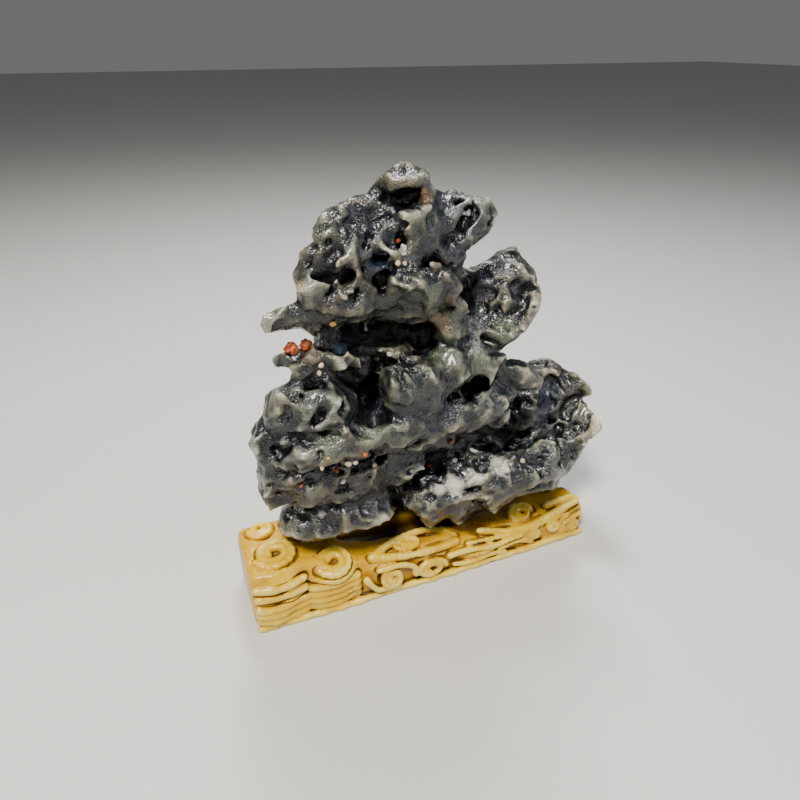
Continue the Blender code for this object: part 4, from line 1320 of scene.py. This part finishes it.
# %% The agate's gloss and skin
gloss = add_node(tree, "MapRange", inputs={"Value": height, "From Min": 0.3, "From Max": 1.1})
gloss = add_node(tree, "Math", {"operation": "MULTIPLY_ADD"}, {0: speckle, 1: 0.3, 2: gloss})
gloss = add_node(tree, "MapRange", inputs={"Value": gloss, "From Min": 0.0, "From Max": 1.2,
                                           "To Min": 0.16, "To Max": 0.55})
tree.links.new(gloss, shader.inputs["Roughness"])
cells = add_node(tree, "TexVoronoi", inputs={"Vector": on_stone, "Scale": marks(0.45)})
waves = add_node(tree, "TexNoise", inputs={"Vector": on_stone, "Scale": marks(1.3), "Detail": 5.0})
shagreen = add_node(tree, "Math", {"operation": "MULTIPLY_ADD"}, {0: cells, 1: 0.5, 2: waves})
bump = add_node(tree, "Bump", inputs={"Strength": 0.8, "Distance": 0.5 * MM, "Height": shagreen})
tree.links.new(bump, shader.inputs["Normal"])
stone.data.materials.append(agate)
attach(stone, "root")
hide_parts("stone")
print(agate.name, "has", len(tree.nodes), "nodes in all")

# %% [markdown]
# The stand is painted: a glossy yellow lacquer, paler to cream where the cords stand
# proud, partly worn and partly a painted highlight, and orange-brown in the grooves and
# in the long hollow, which is painted shade. Brush streaks about 1 mm wide run through the
# yellow. Lacquer has an IOR near 1.5 and a roughness of about 0.3.

# %% Worn yellow lacquer, with painted shade and highlight
lacquer, tree, shader = new_finish("worn_lacquer_with_painted_shade", IOR=1.5, Coat_Weight=0.15,
                                   Coat_Roughness=0.15)
on_stand = add_node(tree, "TexCoord", output="Object")
raised = add_node(tree, "Attribute", {"attribute_name": "raised"}, output="Fac")
crest = add_node(tree, "Attribute", {"attribute_name": "crest"}, output="Fac")
streaks = add_node(tree, "TexNoise", inputs={"Vector": on_stand, "Scale": marks(1.1), "Detail": 5.0})
streaks = add_node(tree, "MapRange", inputs={"Value": streaks, "From Min": 0.3, "From Max": 0.7})
height = crest
for part, weight in ((raised, 0.25), (streaks, 0.22)):
    height = add_node(tree, "Math", {"operation": "MULTIPLY_ADD"}, {0: part, 1: weight, 2: height})
height = add_node(tree, "MapRange", inputs={"Value": height, "From Min": -0.62, "From Max": 0.8})
# The dark brown stops are painted shade in the grooves and the long hollow; the cream top stop is partly
# worn paint and partly a painted highlight on the proud cords.
yellow = add_node(tree, "ValToRGB", inputs={"Fac": height}, stops=(
    (0.0, "#3c2000"), (0.2, "#6c4400"), (0.38, "#a07400"), (0.6, "#b98a00"), (0.82, "#c9a206"),
    (1.0, "#dcc458")))
clouds = add_node(tree, "TexNoise", inputs={"Vector": on_stand, "Scale": marks(7.0), "Detail": 3.0})
clouds = add_node(tree, "MapRange", inputs={"Value": clouds, "From Min": 0.35, "From Max": 0.65})
clouds = add_node(tree, "Math", {"operation": "MULTIPLY"}, {0: clouds, 1: 0.3})
yellow = add_node(tree, "Mix", PLAIN_MIX, {0: clouds, 6: yellow, 7: linear("#c09600")}, output=2)
tree.links.new(yellow, shader.inputs["Base Color"])
gloss = add_node(tree, "MapRange", inputs={"Value": streaks, "To Min": 0.22, "To Max": 0.45})
tree.links.new(gloss, shader.inputs["Roughness"])
brushed = add_node(tree, "TexNoise", inputs={"Vector": on_stand, "Scale": marks(0.9), "Detail": 5.0})
bump = add_node(tree, "Bump", inputs={"Strength": 0.35, "Distance": 0.3 * MM, "Height": brushed})
tree.links.new(bump, shader.inputs["Normal"])
stand.data.materials.append(lacquer)
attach(stand, "root")
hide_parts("stand")
print(lacquer.name, "has", len(tree.nodes), "nodes")

# %% [markdown]
# Pebbles and grains are bits of carnelian, quartz, chalcedony and jasper that the wind
# left in the hollows. All are kinds of quartz with an IOR of 1.54. The wind has tumbled
# them, so they shine softly, and some let a little light through. The black quartz is
# freshly broken, so it is the glossiest. All are cloudy over about 1 mm.

# %% Finishes of the small stones
DARK_SHARE = 0.45


def stone_finish(name, hex_colour, roughness, let_through=0.0):
    """A small polished stone, a little uneven in colour and gloss."""
    finish, tree, shader = new_finish(name, IOR=1.54, Roughness=roughness,
                                      Subsurface_Weight=let_through, Subsurface_Scale=MM)
    on_piece = add_node(tree, "TexCoord", output="Object")
    pale = linear(hex_colour)
    dark = tuple(DARK_SHARE * value for value in pale[:3]) + (1.0,)
    cloud = add_node(tree, "TexNoise", inputs={"Vector": on_piece, "Scale": marks(1.0), "Detail": 4.0})
    cloud = add_node(tree, "MapRange", inputs={"Value": cloud, "From Min": 0.3, "From Max": 0.7})
    colour = add_node(tree, "Mix", PLAIN_MIX, {0: cloud, 6: dark, 7: pale}, output=2)
    tree.links.new(colour, shader.inputs["Base Color"])
    skin = add_node(tree, "TexNoise", inputs={"Vector": on_piece, "Scale": marks(0.4), "Detail": 4.0})
    bump = add_node(tree, "Bump", inputs={"Strength": 0.4, "Distance": 0.1 * MM, "Height": skin})
    tree.links.new(bump, shader.inputs["Normal"])
    return finish


carnelian = stone_finish("tumbled_carnelian", "#b85c2c", 0.22, 0.25)
black_quartz = stone_finish("broken_black_quartz", "#3a4854", 0.05)
milky_quartz = stone_finish("wind_worn_milky_quartz", "#b9b2ae", 0.28)
print(carnelian.name, "has", len(carnelian.node_tree.nodes), "nodes")

# %% [markdown]
# Each small stone is a ball with its surface pushed in and out by smooth noise, so no two
# are alike. The crystal has few flat faces and isn't shaded smooth. The four large ones
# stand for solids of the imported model, at their places and a little smaller, so that the
# bulges stay within their seats.

# %% Caught pebbles
ROUND, FACETED = 4, 1
BULGES = 1.6
WITHIN_SEAT = 0.98
# finish, slot, unevenness and shape of each caught pebble, in the order of their nodes
CAUGHT = (
    (carnelian, "orange_pebble", 0.42, ROUND),
    (carnelian, "orange_pebble", 0.42, ROUND),
    (black_quartz, "black_crystal", 0.15, FACETED),
    (milky_quartz, "white_pebble", 0.42, ROUND),
)


def pebble(name, centre, half_sizes, axes, seed, unevenness, shape=ROUND):
    """A small uneven ball; its seed picks the bulges."""
    bm = bmesh.new()
    bmesh.ops.create_icosphere(bm, subdivisions=shape, radius=1.0)
    shift = Vector((seed * 3.1, seed * 1.7, seed * 2.3))
    for vertex in bm.verts:
        vertex.co *= 1.0 + unevenness * noise.noise(vertex.co * BULGES + shift)
        place = np.array(centre) + axes @ (np.array(vertex.co) * half_sizes)
        vertex.co = Vector(place * MM)
    piece = new_piece(name, bm)
    if shape == ROUND:
        piece.data.shade_smooth()
    return piece


for number, (node, (finish, slot_name, unevenness, shape)) in enumerate(zip(CAUGHT_NODES, CAUGHT)):
    centre, half_sizes = packed_middle(node)
    made = pebble("worn_" + node, centre, half_sizes * WITHIN_SEAT, PLAIN_AXES, number + 1,
                  unevenness, shape)
    made.data.materials.append(finish)
    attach(made, "root")
    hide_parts(node)
    print(made.name, "is", round(2 * float(half_sizes.max()), 1), "mm long")

# %% [markdown]
# Smaller grains of coarse sand lie in the hollows, each sunk a third into the stone. The
# slope of the distance field says which way is out. They have no solid of their own.

# %% Loose grains
# place (x, z), radius in mm, kind
GRAINS = (
    ((-22.6, 76.6), 0.7, "yellow"),
    ((-7.5, 93.3), 0.6, "orange"),
    ((-7.0, 88.5), 0.6, "cream"),
    ((-5.6, 88.1), 0.5, "cream"),
    ((-12.4, 66.1), 0.8, "cream"),
    ((-8.9, 66.2), 0.6, "white"),
    ((-26.1, 66.7), 0.7, "cream"),
    ((-26.7, 64.5), 0.6, "cream"),
    ((-26.0, 40.4), 0.9, "olive"),
    ((-20.7, 38.1), 0.8, "cream"),
    ((-18.9, 37.8), 0.6, "white"),
    ((-22.6, 32.9), 0.7, "white"),
    ((-33.3, 34.6), 0.7, "orange"),
    ((-27.5, 38.2), 0.5, "cream"),
    ((-16.4, 39.4), 0.6, "orange"),
    ((9.4, 30.6), 0.7, "white"),
    ((8.3, 37.4), 0.6, "orange"),
    ((19.5, 35.4), 0.8, "grey"),
    ((31.5, 24.6), 0.7, "cream"),
    ((-3.1, 30.9), 0.6, "grey"),
    ((2.2, 30.8), 0.6, "orange"),
    ((-13.8, 35.0), 0.6, "cream"),
    ((-24.0, 36.4), 0.6, "orange"),
    ((23.6, 31.7), 0.6, "white"),
    ((-10.8, 35.4), 0.5, "grey"),
)
GRAIN_FINISHES = {
    "orange": (carnelian, "orange_pebble"),
    "white": (milky_quartz, "white_pebble"),
    "cream": (stone_finish("cream_chalcedony", "#cbb894", 0.35, 0.2), "white_pebble"),
    "grey": (stone_finish("grey_chalcedony", "#8d9090", 0.3), "white_pebble"),
    "olive": (stone_finish("olive_jasper", "#6d6840", 0.3), "stone"),
    "yellow": (stone_finish("yellow_jasper", "#b08a3c", 0.25), "orange_pebble"),
}
SUNK = 0.35
GRAIN_SHAPE = np.array([1.0, 0.8, 0.9])
GRAIN_UNEVENNESS = 0.25
GRAIN_ROLL = 37
FIRST_GRAIN_SEED = 9
SLOPE_STEPS = np.eye(3) * 0.5
laid = 0
for number, ((x, z), radius, kind) in enumerate(GRAINS):
    point = seen_point(stone_block, x, z)
    if point is None:
        continue
    outward = np.array([float(stone_block.read(point + step)[0] - stone_block.read(point - step)[0])
                        for step in SLOPE_STEPS])
    outward = outward / (np.linalg.norm(outward) + 1e-9)
    centre = point + outward * radius * (1 - SUNK)
    axes = look_axes(number * GRAIN_ROLL)
    made = pebble(f"grain_{number + 1}", centre, radius * GRAIN_SHAPE, axes,
                  number + FIRST_GRAIN_SEED, GRAIN_UNEVENNESS)
    finish, slot_name = GRAIN_FINISHES[kind]
    made.data.materials.append(finish)
    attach(made, "root")
    laid += 1
print(laid, "grains laid")

# %% [markdown]
# The stage is a plain pale floor, so wide that its edge is far behind the stone.

# %% Floor
FLOOR_HALF_SIZE = 3000
bm = bmesh.new()
bmesh.ops.create_grid(bm, x_segments=1, y_segments=1, size=FLOOR_HALF_SIZE * MM)
floor = new_piece("floor", bm)
pale, tree, shader = new_finish("pale_floor", Roughness=0.85)
shader.inputs["Base Color"].default_value = linear("#bfbcb8")
floor.data.materials.append(pale)
print("the floor is", 2 * FLOOR_HALF_SIZE, "mm wide")

# %% [markdown]
# Soft studio light suits a glossy dark stone: a strong lamp above to the left, a weaker
# and wider one to the right, and a small one behind that draws the glints. The world
# gives a low even light, so that no hollow is quite black.

# %% Light
STONE_MIDDLE = (0, 0, 55)


def lamp(name, place, size, power, hex_colour="#ffffff"):
    """A square lamp that shines on the middle of the stone."""
    light = bpy.data.lights.new(name, "AREA")
    light.size = size * MM
    light.energy = power
    light.color = linear(hex_colour)[:3]
    made = bpy.data.objects.new(name, light)
    made.location = Vector(place) * MM
    aim = (Vector(STONE_MIDDLE) - Vector(place)) * MM
    made.rotation_euler = aim.to_track_quat("-Z", "Y").to_euler()
    bpy.context.scene.collection.objects.link(made)
    print(name, "lamp:", power, "W,", round(aim.length / MM), "mm away")


lamp("key", (-180, -220, 480), 120, 5.8, "#fffaf2")
lamp("fill", (450, -250, 300), 350, 1.2, "#eef3ff")
lamp("strip", (50, 220, 420), 100, 2.2)
world = bpy.data.worlds.new("studio")
world.use_nodes = True
background = world.node_tree.nodes["Background"]
background.inputs["Color"].default_value = linear("#d9dcdf")
background.inputs["Strength"].default_value = 0.22
bpy.context.scene.world = world

# %% [markdown]
# The camera stands at the viewpoint. It is close, so the lens is short and the nearer
# parts look larger, as they do to an eye at that distance.

# %% Camera
LENS = 29.0
camera_data = bpy.data.cameras.new("camera")
camera_data.sensor_width = 36.0
camera_data.lens = LENS
camera_data.clip_start = 5 * MM
camera = bpy.data.objects.new("camera", camera_data)
camera.location = Vector(VIEWPOINT * MM)
camera.rotation_euler = Matrix((ACROSS, UPWARD, -AWAY)).transposed().to_euler()
bpy.context.scene.collection.objects.link(camera)
bpy.context.scene.camera = camera
print("lens:", LENS, "mm")
